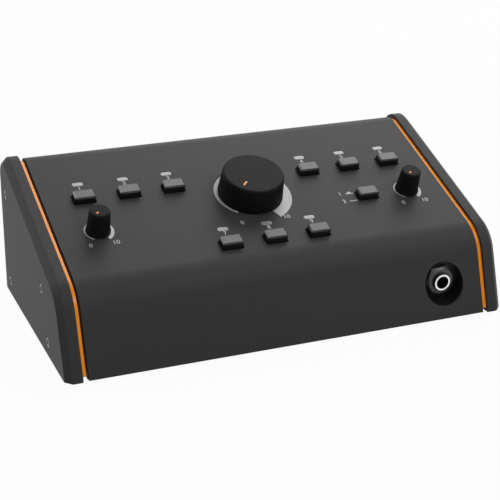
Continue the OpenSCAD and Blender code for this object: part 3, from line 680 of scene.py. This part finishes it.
def soft_box(name, place, size, power):
    """A soft lamp that looks at the object's middle."""
    bpy.ops.object.light_add(type="AREA", location=place)
    lamp = bpy.context.object
    lamp.name = name
    lamp.data.shape = "RECTANGLE"
    lamp.data.size, lamp.data.size_y = size
    lamp.data.energy = power
    aim = Vector((0, 0, 40 * MM))
    lamp.rotation_euler = (aim - Vector(place)).to_track_quat("-Z", "Y").to_euler()


def studio():
    """A white room for whatever looks at it, and soft light from the back, the left and the front."""
    floor = begin("floor", "plane", size=7)
    with editing(floor):
        pick_all()
        bpy.ops.mesh.subdivide(number_cuts=3)
    paper = Finish("floor_paper")
    fibre = paper.noise(3 * MM, 2)
    lit = paper.add("ShaderNodeBsdfDiffuse", {}, {
        "Color": paper.blend(fibre, grey(0.68), grey(0.72)), "Roughness": 0.5})
    white = paper.add("ShaderNodeEmission", {}, {"Color": (1, 1, 1, 1), "Strength": 1.0})
    paper.shown(paper.add("ShaderNodeMixShader", {}, {0: paper.background_rays() * 0.96, 1: lit, 2: white}))
    dress(floor, paper.made)

    room = Finish("studio", bpy.data.worlds)
    air = room.add("ShaderNodeBackground", {}, {
        "Color": (1, 1, 1, 1), "Strength": room.background_rays() * (1 - ROOM) + ROOM})
    room.shown(air, "ShaderNodeOutputWorld")
    bpy.context.scene.world = room.made

    soft_box("back_box", place=(0.55, 0.68, 1.0), size=(1.1, 0.95), power=12)
    soft_box("left_box", place=(-1.2, 0.95, 0.85), size=(0.7, 0.7), power=8)
    soft_box("front_box", place=(0.47, -0.67, 0.98), size=(1.0, 0.3), power=5.9)


studio()

# ---------------------------------------------------------------------------
# The bent cover
# ---------------------------------------------------------------------------


def block(name, w, d, low, high, corner):
    """An upright block with rounded corners, standing over the origin."""
    piece = begin(name, "cube", size=1, location=(0, 0, (low + high) / 2), scale=(w, d, high - low))
    with editing(piece):
        pick("EDGE", lambda a, b: close(a.x, b.x) and close(a.y, b.y))
        bpy.ops.mesh.bevel(offset=corner, segments=6, affect="EDGES")
    return piece


def make_cover():
    """The cover: one strip of sheet with its two bends, given its thickness and then its holes."""
    lip_end = Vector((0, BACK.y, BACK.z - BACK_R / math.tan(math.radians(45) - SLOPE / 2) - BACK_LIP))
    cover = strip("bent_cover", -HALF, HALF, [TOE, BEND, BACK, lip_end], [0, BEND_R, BACK_R, 0])
    # its faces look outwards, because the sheet's thickness then goes inwards
    with editing(cover):
        faces = bmesh.from_edit_mesh(cover.data).faces
        if min(faces, key=lambda face: face.calc_center_median().z).normal.y > 0:
            pick_all()
            bpy.ops.mesh.flip_normals()
    change(cover, "SOLIDIFY", thickness=SHEET, offset=-1, use_even_offset=True)
    cutters = []
    for x, s in list(BUTTONS.values()) + [SELECTOR]:
        hole = block("hole", BUTTON_W + 2 * BUTTON_GAP, BUTTON_D + 2 * BUTTON_GAP, -TOP_HOLE, TOP_HOLE,
                     BUTTON_CORNER)
        cutters.append(put(hole, on_top(x, s)))
    for x, s in BUTTONS.values():
        hole = block("hole", LIGHT_W + 2 * LIGHT_GAP, LIGHT_D + 2 * LIGHT_GAP, -TOP_HOLE, TOP_HOLE,
                     LIGHT_CORNER + LIGHT_GAP)
        cutters.append(put(hole, on_top(x, s + LIGHT_UP)))
    for x, s in KNOBS.values():
        hole = begin("hole", "cylinder", vertices=48, radius=BUSHING_R, depth=2 * TOP_HOLE)
        cutters.append(put(hole, on_top(x, s)))
    cutters.append(tube("hole", PHONES_X, PHONES_Z, TOE.y - PAST, TOE.y + RECESS_DEEP, RECESS_R))
    cut(cover, cutters)
    soften(cover, width=0.2 * MM, angle=35)
    fit_out(cover, CONSOLE, "console", "console_paint", "top_shell")


# ---------------------------------------------------------------------------
# Cheeks, orange plates and their screws
# ---------------------------------------------------------------------------

cheek_low, cheek_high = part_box("right_cheek")
plate_low, plate_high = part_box("right_side_plate")
PLATE_IN = plate_low.x + PAD_H
CHEEK_IN = plate_high.x
CHEEK_OUT = cheek_high.x


def outline(inset, rear_y, low_z):
    """The end's corners in the side view: front foot, back foot, back top and bend."""
    front = TOE - off(LEAN) * inset
    top = BEND - off(SLOPE) * inset
    low = Vector((0, 0, low_z))
    rear = Vector((0, rear_y, 0))
    return [meet(front, LEAN, low, 0), Vector((0, rear_y, low_z)),
            meet(rear, math.pi / 2, top, SLOPE), meet(top, SLOPE, front, LEAN)]


def find_heads(node, axis, level):
    """The middles of a node's screw heads, from the corners of its mesh that lie at the heads' ends."""
    screws = nodes[node]
    heads = []
    for corner in screws.data.vertices:
        place = screws.matrix_world @ corner.co
        if not close(place[axis], level, 1e-5):
            continue
        for head in heads:
            if (head[0] - place).length < 3 * HEAD_R:
                head.append(place)
                break
        else:
            heads.append([place])
    return [Vector([(min(p[i] for p in head) + max(p[i] for p in head)) / 2 for i in range(3)])
            for head in heads]


CHEEK_SCREWS = [head.yz for head in find_heads("right_cheek_screws", 0, CHEEK_OUT)]


def rod(name, spot, low_x, high_x, radius, sides=48):
    """A cylinder along X from low_x to high_x."""
    return begin(name, "cylinder", vertices=sides, radius=radius, depth=high_x - low_x,
                 location=((low_x + high_x) / 2, *spot), rotation=(0, math.pi / 2, 0))


def make_cheek():
    """A cheek: its outer rim is chamfered, then its bottom is cut level and its foot corners rounded."""
    corners = outline(-RIM_PROUD, cheek_high.y, cheek_low.z - 2 * CHAMFER)
    cheek = strip("right_end_cheek", CHEEK_IN, CHEEK_OUT, corners,
                  [0, 0, CHEEK_BACK_R, BEND_R + RIM_PROUD], closed=True)
    with editing(cheek):
        pick("EDGE", lambda a, b: close(a.x, CHEEK_OUT) and close(b.x, CHEEK_OUT))
        bpy.ops.mesh.bevel(offset=CHAMFER, segments=1, affect="EDGES")
        pick_all()
        bpy.ops.mesh.bisect(plane_co=(0, 0, cheek_low.z), plane_no=(0, 0, -1), use_fill=True,
                            clear_outer=True)
        # the front corner is sharper than the back one, so its round starts further off
        for side, reach in ((-1, CHEEK_FRONT_REACH), (1, 1)):
            pick("EDGE", lambda a, b: close(a.z, cheek_low.z) and close(b.z, cheek_low.z) and
                 a.y * side > 0 and b.y * side > 0)
            bpy.ops.mesh.bevel(offset=CHEEK_FOOT_R * reach, segments=5, affect="EDGES")
    cut(cheek, [rod("hole", spot, CHEEK_IN - PAST, CHEEK_OUT - HEAD_H + PAST, SCREW_R + LOOSE)
                for spot in CHEEK_SCREWS])
    cut(cheek, [rod("hole", spot, CHEEK_OUT - HEAD_H, CHEEK_OUT + PAST, HEAD_R + LOOSE)
                for spot in CHEEK_SCREWS])
    return soften(cheek, width=0.25 * MM)


def make_plate():
    """The coloured plate that shows as a thin strip beside a cheek, held off the metal by pads."""
    corners = outline(PLATE_INSET, BACK.y - PLATE_INSET, plate_low.z)
    plate = strip("right_orange_plate", PLATE_IN, plate_high.x, corners,
                  [0, 0, BACK_R - PLATE_INSET, BEND_R - PLATE_INSET], closed=True)
    cut(plate, [rod("pad", spot, plate_low.x, PLATE_IN + PAD_H, PAD_R, sides=64)
                for spot in CHEEK_SCREWS], "UNION")
    cut(plate, [rod("hole", spot, plate_low.x - PAST, plate_high.x + PAST, SCREW_R + LOOSE)
                for spot in CHEEK_SCREWS])
    return soften(plate, width=0.2 * MM, angle=40)


def make_screws(name, node, axis, outward, turn):
    """A node's screws: one is turned, rounded and given its hex socket, then copied to each place.

    Their heads look along the axis if outward is true, and against it if not."""
    low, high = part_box(node)
    screw = begin("screw", "cylinder", vertices=48, radius=HEAD_R, depth=HEAD_H,
                  location=(0, 0, -HEAD_H / 2))
    with editing(screw):
        pick("FACE", underside)
        bpy.ops.mesh.inset(thickness=HEAD_R - SCREW_R)
        bpy.ops.mesh.extrude_region_move(
            TRANSFORM_OT_translate={"value": (0, 0, HEAD_H - high[axis] + low[axis])})
        pick("EDGE", ring_pick(0))
        bpy.ops.mesh.bevel(offset=HEAD_ROUND, segments=4, affect="EDGES")
    cut(screw, [begin("socket", "cylinder", vertices=6, radius=SOCKET / 2 / math.cos(math.radians(30)),
                      depth=HEAD_H)])
    soften(screw, width=0.08 * MM)
    heads = find_heads(node, axis, (high if outward else low)[axis])
    copies = [put(copy(screw, "screw"), head, turn) for head in heads]
    bpy.data.objects.remove(screw)
    return join(name, copies)


make_cover()
cheek_screws = make_screws("right_end_screws", "right_cheek_screws", axis=0, outward=True,
                           turn=(0, math.pi / 2, 0))
for piece, material, slot, node in (
        (make_cheek(), CHEEK, "cheek_satin", "cheek"),
        (make_plate(), ORANGE_PAINTED_GLOW, "accent_orange", "side_plate"),
        (cheek_screws, BLACK_OXIDE, "black_screw", "cheek_screws")):
    left = mirrored(piece, piece.name.replace("right", "left"))
    fit_out(piece, material, "console", slot, f"right_{node}")
    fit_out(left, material, "console", slot, f"left_{node}")
under_screws = make_screws("underside_screws", "base_screws", axis=2, outward=False,
                           turn=(math.pi, 0, 0))
fit_out(under_screws, BLACK_OXIDE, "console", "black_screw", "base_screws")
back_screws = make_screws("back_screws", "rear_screws", axis=1, outward=True,
                          turn=(-math.pi / 2, 0, 0))
fit_out(back_screws, BLACK_OXIDE, "console", "black_screw", "rear_screws")


def make_feet():
    """Four round rubber feet, with a rounded lower rim and a shallow dish underneath."""
    low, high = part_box("rubber_feet")
    foot = begin("foot", "cylinder", vertices=64, radius=FOOT_R, depth=high.z, location=(0, 0, high.z / 2))
    with editing(foot):
        pick("FACE", underside)
        bpy.ops.mesh.inset(thickness=FOOT_RIM)
        bpy.ops.mesh.extrude_region_move(TRANSFORM_OT_translate={"value": (0, 0, FOOT_DISH)})
        pick("EDGE", lambda a, b: close(a.z, 0) and close(b.z, 0) and a.xy.length > FOOT_R - FOOT_RIM / 2)
        bpy.ops.mesh.bevel(offset=FOOT_ROUND, segments=4, affect="EDGES")
    soften(foot, width=0.15 * MM)
    feet = [put(copy(foot, "foot"), (x, y, 0), (0, 0, 0))
            for x in (low.x + FOOT_R, high.x - FOOT_R) for y in (low.y + FOOT_R, high.y - FOOT_R)]
    bpy.data.objects.remove(foot)
    fit_out(join("rubber_foot_set", feet), RUBBER, "console", "foot_rubber", "rubber_feet")


make_feet()

# ---------------------------------------------------------------------------
# Knobs
# ---------------------------------------------------------------------------


def make_bar(name, outer, length, low, high, width):
    """A round-ended bar that points down the slope, turned clockwise to a dial's place at rest."""
    piece = begin(name, "cube", size=1, location=(0, length / 2 - outer, (high + low) / 2),
                  scale=(width, length, high - low))
    with editing(piece):
        pick("EDGE", lambda a, b: close(a.x, b.x) and close(a.y, b.y))
        # a hair less than half the width, so that the end's two rounds don't meet
        bpy.ops.mesh.bevel(offset=width / 2 * 0.99, segments=8, affect="EDGES")
        pick_all()
        bpy.ops.transform.rotate(value=POINTER_REST, orient_axis="Z", center_override=(0, 0, 0))
    return piece


def make_knob(side, radius, top_radius, height, edge, pointer_out, pointer_len, waist=()):
    """A turned knob: a cylinder with its top and its waist drawn in, its edge rounded and a pocket
    underneath. The waist is a list of heights and radii, in millimetres."""
    knob = begin(f"{side}_dial_knob", "cylinder", vertices=128, radius=radius,
                 depth=height - KNOB_LIFT, location=(0, 0, (height + KNOB_LIFT) / 2))
    with editing(knob):
        pick("VERT", lambda v: close(v.z, height))
        ratio = top_radius / radius
        bpy.ops.transform.resize(value=(ratio, ratio, 1), center_override=(0, 0, height))
        pick("EDGE", ring_pick(height))
        bpy.ops.mesh.bevel(offset=edge, segments=8, affect="EDGES")
        for level, drawn in waist:
            pick_all()
            bpy.ops.mesh.bisect(plane_co=(0, 0, level * MM), plane_no=(0, 0, 1))
        for level, drawn in waist:
            rise = (level * MM - KNOB_LIFT) / (height - KNOB_LIFT)
            ratio = drawn * MM / (radius + (top_radius - radius) * rise)
            pick("VERT", lambda v: close(v.z, level * MM))
            bpy.ops.transform.resize(value=(ratio, ratio, 1), center_override=(0, 0, level * MM))
        pick("FACE", underside)
        bpy.ops.mesh.inset(thickness=radius - POCKET_R)
        bpy.ops.mesh.extrude_region_move(TRANSFORM_OT_translate={"value": (0, 0, POCKET_H)})
        pick("EDGE", ring_pick(KNOB_LIFT))
        bpy.ops.mesh.bevel(offset=POCKET_EDGE, segments=2, affect="EDGES")
    low = height - POINTER_DEPTH
    groove = make_bar("groove", pointer_out + SNUG, pointer_len + 2 * SNUG, low, height + PAST,
                      POINTER_W + 2 * SNUG)
    cut(knob, [groove])
    shade(knob)
    pointer = make_bar(f"{side}_dial_pointer", pointer_out, pointer_len, low, height, POINTER_W)
    soften(pointer, width=0.08 * MM, angle=40)
    body, place = f"{side}_dial", on_top(*KNOBS[side])
    fit_out(put(knob, place), KNOB, body, "knob_soft", f"{side}_knob")
    fit_out(put(pointer, place), POINTER, body, "pointer_orange", f"{side}_pointer")


make_knob("main", radius=16.1 * MM, top_radius=15 * MM, height=13 * MM, edge=1.1 * MM,
          pointer_out=11.5 * MM, pointer_len=3.6 * MM)
for side in ("left", "right"):
    make_knob(side, radius=6 * MM, top_radius=4.8 * MM, height=12.5 * MM, edge=0.9 * MM,
              pointer_out=2.9 * MM, pointer_len=1.4 * MM, waist=SIDE_WAIST)

# ---------------------------------------------------------------------------
# Buttons and lights
# ---------------------------------------------------------------------------


def make_button():
    """One button cap: rounded corners, a flat bevel round the top and a stem underneath."""
    cap = block("cap", BUTTON_W, BUTTON_D, BUTTON_LOW, BUTTON_H, BUTTON_CORNER)
    with editing(cap):
        pick("EDGE", ring_pick(BUTTON_H))
        bpy.ops.mesh.bevel(offset=BUTTON_BEVEL, segments=1, affect="EDGES")
        pick("FACE", underside)
        bpy.ops.mesh.inset(thickness=(BUTTON_D - STEM_W) / 2)
        bpy.ops.transform.resize(value=(STEM_W / (BUTTON_W - BUTTON_D + STEM_W), 1, 1),
                                 center_override=(0, 0, BUTTON_LOW))
        bpy.ops.mesh.extrude_region_move(
            TRANSFORM_OT_translate={"value": (0, 0, STEM_LOW - BUTTON_LOW)})
    return soften(cap, width=0.1 * MM, angle=35)


def make_buttons():
    """A cap at each button's place, on a body of its own."""
    cap = make_button()
    for name, spot in {**BUTTONS, "selector_button": SELECTOR}.items():
        piece = put(copy(cap, f"{name}_cap"), on_top(*spot))
        fit_out(piece, BUTTON, f"{name}_body", "button_grey", name)
    bpy.data.objects.remove(cap)


def make_windows():
    """The milky light pipes, each with a soft edge that stands level with the metal."""
    light = block("light", LIGHT_W, LIGHT_D, LIGHT_LOW, 0, LIGHT_CORNER)
    with editing(light):
        pick("EDGE", ring_pick(0))
        bpy.ops.mesh.bevel(offset=LIGHT_ROUND, segments=4, affect="EDGES")
    shade(light, angle=40)
    lights = [put(copy(light, "light"), on_top(x, s + LIGHT_UP)) for x, s in BUTTONS.values()]
    bpy.data.objects.remove(light)
    fit_out(join("light_pipes", lights), WINDOW, "console", "light_window", "light_windows")


make_buttons()
make_windows()

# ---------------------------------------------------------------------------
# Phones jack
# ---------------------------------------------------------------------------


def make_nut(name, flats, thickness, turned=0.0):
    """A hex nut standing on the origin, its corners turned down and its bore's mouth opened."""
    corner = flats / 2 / math.cos(math.radians(30))
    nut = begin(name, "cylinder", vertices=6, radius=corner, depth=thickness,
                location=(0, 0, thickness / 2), rotation=(0, 0, turned - math.radians(30)))
    blank = begin("turning", "cylinder", vertices=96, radius=corner, depth=thickness,
                  location=(0, 0, thickness / 2))
    with editing(blank):
        pick("EDGE", ring_pick(thickness))
        bpy.ops.mesh.bevel(offset=corner - flats * NUT_TOP, segments=1, affect="EDGES")
    cut(nut, [blank], "INTERSECT")
    bore = begin("bore", "cylinder", vertices=64, radius=BUSH_R + SNUG, depth=3 * thickness)
    cut(nut, [bore])
    mouth = begin("mouth", "cone", vertices=64, radius1=BUSH_R - NUT_MOUTH, radius2=BUSH_R + NUT_MOUTH,
                  depth=2 * NUT_MOUTH, location=(0, 0, thickness))
    cut(nut, [mouth])
    return soften(nut, width=0.12 * MM, angle=25)


def make_sleeve(name, low, high, radius):
    """A ring round the phones bore, from low to high along Y."""
    sleeve = tube(name, PHONES_X, PHONES_Z, low, high, radius)
    with editing(sleeve):
        pick("FACE", lambda middle, normal: abs(normal.y) > 0.9)
        bpy.ops.mesh.inset(thickness=radius - BORE_R)
        bpy.ops.mesh.bridge_edge_loops()
    return sleeve


def make_phones():
    """The front jack: a black cup sunk into the front, a hex nut, and a dark thread that ends in a bright
    ring.
    The thread's bore wall is black as well, as painted shade of the deep bore."""
    nut_low, nut_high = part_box("phones_nut")
    back_wall = nut_high.y
    cup = tube("recess_lining", PHONES_X, PHONES_Z, TOE.y - PAST, back_wall, RECESS_R)
    with editing(cup):
        pick("FACE", lambda middle, normal: normal.y < -0.9)
        bpy.ops.mesh.delete(type="FACE")
        pick("FACE", lambda middle, normal: normal.y > 0.9)
        bpy.ops.mesh.inset(thickness=RECESS_R - BUSH_R - LOOSE)
        bpy.ops.mesh.delete(type="FACE")
        pick_all()
        bpy.ops.mesh.bisect(plane_co=TOE - off(LEAN) * SHEET, plane_no=off(LEAN), clear_outer=True)
        pick_all()
        bpy.ops.mesh.normals_make_consistent(inside=False)
    change(cup, "SOLIDIFY", thickness=CUP_WALL, offset=1, use_even_offset=True)
    soften(cup, width=0.25 * MM)
    fit_out(cup, SOCKET_BLACK, "console", "socket_black", "recess_cup")

    nut = make_nut("phones_hex_nut", PHONES_NUT, nut_high.y - nut_low.y, PHONES_NUT_TURN)
    put(nut, (PHONES_X, back_wall, PHONES_Z), (math.pi / 2, 0, 0))
    fit_out(nut, BLACK_NUT, "console", "black_nut", "phones_nut")

    ring_end = bush_low.y + RING_T
    thread = make_sleeve("phones_thread", ring_end, bush_high.y, BUSH_R)
    with editing(thread):
        pick("EDGE", lambda a, b: all(
            close(end.y, ring_end) and close(math.hypot(end.x - PHONES_X, end.z - PHONES_Z), BUSH_R, 1e-5)
            for end in (a, b)))
        bpy.ops.mesh.bevel(offset=BUSH_R - RING_R, segments=1, affect="EDGES")
    # the thread is black all through: its bore wall is painted shade of the deep bore
    fit_out(shade(thread), THREAD_AND_BORE_SHADE, "console", "bright_bush", "phones_bush")
    ring = make_sleeve("phones_ring", bush_low.y, ring_end, RING_R)
    fit_out(soften(ring, width=0.06 * MM), CHROME, "console", "bright_bush")


make_phones()

# ---------------------------------------------------------------------------
# Rear sockets
# ---------------------------------------------------------------------------

PANEL_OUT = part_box("rear_panel")[1].y
PANEL_IN = PANEL_OUT - SHEET


def make_socket(name, node, bush_r, bore_r, depth):
    """A board-mounted socket: a moulded body, its bush through the rear panel and its bore."""
    low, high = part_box(node)
    x, half = (low.x + high.x) / 2, (high.x - low.x) / 2
    z = high.z - half
    body = begin(name, "cube", size=1, scale=(2 * half, PANEL_IN - low.y, high.z - low.z),
                 location=(x, (low.y + PANEL_IN) / 2, (low.z + high.z) / 2))
    with editing(body):
        pick("FACE", lambda middle, normal: normal.z > 0.9)
        bpy.ops.mesh.inset(thickness=HOUSING_RIM)
        bpy.ops.mesh.extrude_region_move(TRANSFORM_OT_translate={"value": (0, 0, -HOUSING_DIP)})
    cut(body, [tube("bush", x, z, PANEL_IN - PAST, high.y, bush_r)], "UNION")
    cut(body, [tube("bore", x, z, high.y - depth, high.y + PAST, bore_r, sides=64)])
    soften(body, width=0.15 * MM)
    fit_out(body, SOCKET_BLACK, "console", "socket_black", node)
    return x, z, high.y


REAR_JACKS = [make_socket(f"rear_jack_housing_{i}", f"rear_jack_{i}", BUSH_R, BORE_R, JACK_DEPTH)
              for i in range(1, 7)]
make_socket("aux_housing", "aux_socket", AUX_BUSH_R, AUX_BORE_R, AUX_DEPTH)
power_x, power_z, power_end = make_socket("power_housing", "power_inlet", POWER_R, POWER_BORE_R,
                                          POWER_DEPTH)


def make_power_pin():
    """The inlet's centre pin, with a rounded end."""
    root = power_end - POWER_DEPTH - HOUSING_DIP
    pin = tube("power_pin", power_x, power_z, root, PANEL_OUT, POWER_PIN_R, sides=48)
    with editing(pin):
        pick("EDGE", lambda a, b: close(a.y, PANEL_OUT) and close(b.y, PANEL_OUT))
        bpy.ops.mesh.bevel(offset=POWER_PIN_ROUND, segments=4, affect="EDGES")
    fit_out(shade(pin), ALLOY, "console", "plain_steel")


def make_rear_nuts():
    """A hex nut on each rear jack's bush."""
    low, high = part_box("rear_jack_nuts")
    nut = make_nut("nut", REAR_NUT, high.y - low.y)
    nuts = [put(copy(nut, "nut"), (x, low.y, z), (-math.pi / 2, 0, 0)) for x, z, end in REAR_JACKS]
    bpy.data.objects.remove(nut)
    fit_out(join("rear_hex_nuts", nuts), BLACK_NUT, "console", "black_nut", "rear_jack_nuts")


make_power_pin()
make_rear_nuts()

# ---------------------------------------------------------------------------
# Printed marks
# ---------------------------------------------------------------------------


def face_up(piece):
    """Turns a flat print's faces to look up."""
    with editing(piece):
        pick("FACE", underside)
        bpy.ops.mesh.flip_normals()
    return piece


def make_scale(side, inner, start, finish, narrow, wide):
    """The printed arc round a dial: a line is spun to a band, and its rim drawn out as it goes round.

    start and finish are degrees clockwise from straight down the slope."""
    first, last = math.radians(start), math.radians(finish)
    width = narrow - inner
    band = begin(f"{side}_dial_scale", "plane", size=1, scale=(width, width, 1),
                 location=(width / 2, -(inner + narrow) / 2, PRINT))
    with editing(band):
        pick("VERT", lambda v: v.x > width / 2)
        bpy.ops.mesh.delete(type="VERT")
        pick_all()
        bpy.ops.transform.rotate(value=first, orient_axis="Z", center_override=(0, 0, 0))
        bpy.ops.mesh.spin(steps=ARC_STEPS, angle=last - first, center=(0, 0, PRINT), axis=(0, 0, 1))
    for corner in band.data.vertices:
        reach = corner.co.xy.length
        if reach > (inner + narrow) / 2:
            turn = math.atan2(-corner.co.x, -corner.co.y) % (2 * math.pi)
            drawn = narrow + (wide - narrow) * (turn - first) / (last - first)
            corner.co.xy *= drawn / reach
    fit_out(put(face_up(band), on_top(*KNOBS[side])), SCALE_INK, "console", None)


def make_number(value, place, turn=(SLOPE, 0, 0)):
    """A plain printed number, its middle at its place."""
    let_go()
    bpy.ops.object.text_add()
    figures = bpy.context.object
    figures.data.body = str(value)
    figures.data.size = FIGURE / FIGURE_SHARE
    figures.data.offset = FIGURE_SPREAD
    figures.data.align_x = "CENTER"
    figures.data.align_y = "CENTER"
    bpy.ops.object.convert(target="MESH")
    return put(face_up(bpy.context.object), place, turn)


def make_mark(w, d, s):
    """A printed bar beside the selector, its middle s up the slope."""
    return put(begin("mark", "plane", size=1, scale=(w, d, 1)), on_top(MARK_X, s, PRINT))


def make_figures():
    """All the plain print: numbers by the lights, dials, selector and rear jacks, and its two marks."""
    prints = [make_number(i + 1, on_top(x, s + FIGURE_UP, PRINT))
              for i, (x, s) in enumerate(BUTTONS.values())]
    for side, (away, drop) in DIAL_FIGURES.items():
        x, s = KNOBS[side]
        prints.append(make_number(0, on_top(x - away, s - drop, PRINT)))
        prints.append(make_number(10, on_top(x + away, s - drop, PRINT)))
    prints.append(make_mark(MARK_W, MARK_D, MARK_OUT))
    prints.append(make_mark(RAISED_W, RAISED_D, MARK_OUT + (MARK_D + RAISED_D) / 2))
    prints.append(make_mark(MARK_W, MARK_D, MARK_IN))
    for value, s in MARK_FIGURES.items():
        prints.append(make_number(value, on_top(MARK_FIGURE_X, s, PRINT)))
    for i, (x, z, end) in enumerate(REAR_JACKS):
        prints.append(make_number(i + 1, (x, PANEL_OUT + PRINT, z + REAR_FIGURE_UP),
                                  (math.pi / 2, 0, math.pi)))
    fit_out(join("printed_figures", prints), MARK_INK, "console", None)


make_scale("main", inner=15.9 * MM, start=41, finish=336, narrow=16.8 * MM, wide=21.4 * MM)
for side in ("left", "right"):
    make_scale(side, inner=5.9 * MM, start=31, finish=329, narrow=6.3 * MM, wide=7.75 * MM)
make_figures()

# ---------------------------------------------------------------------------
# Packed nodes that stay as they are
# ---------------------------------------------------------------------------

KEPT = {
    PLATE: ["left_end_wall", "right_end_wall", "base_plate", "rear_panel"],
    BOARD: ["control_board", "main_board"],
    BRASS: ["board_spacers"],
    STEEL: ["board_screws", "control_nuts"],
    RIBBON: ["ribbon_cable"],
    SOCKET_BLACK: ["ribbon_headers", "switch_bodies", "phones_body"],
    CHIP: ["light_chips"],
    CONTROL: ["main_control", "left_control", "right_control"],
    CONTACT: ["phones_contacts"],
    ALLOY: ["main_shaft", "left_shaft", "right_shaft"],
}
for material, names in KEPT.items():
    for name in names:
        for slot in nodes[name].material_slots:
            slot.material = material
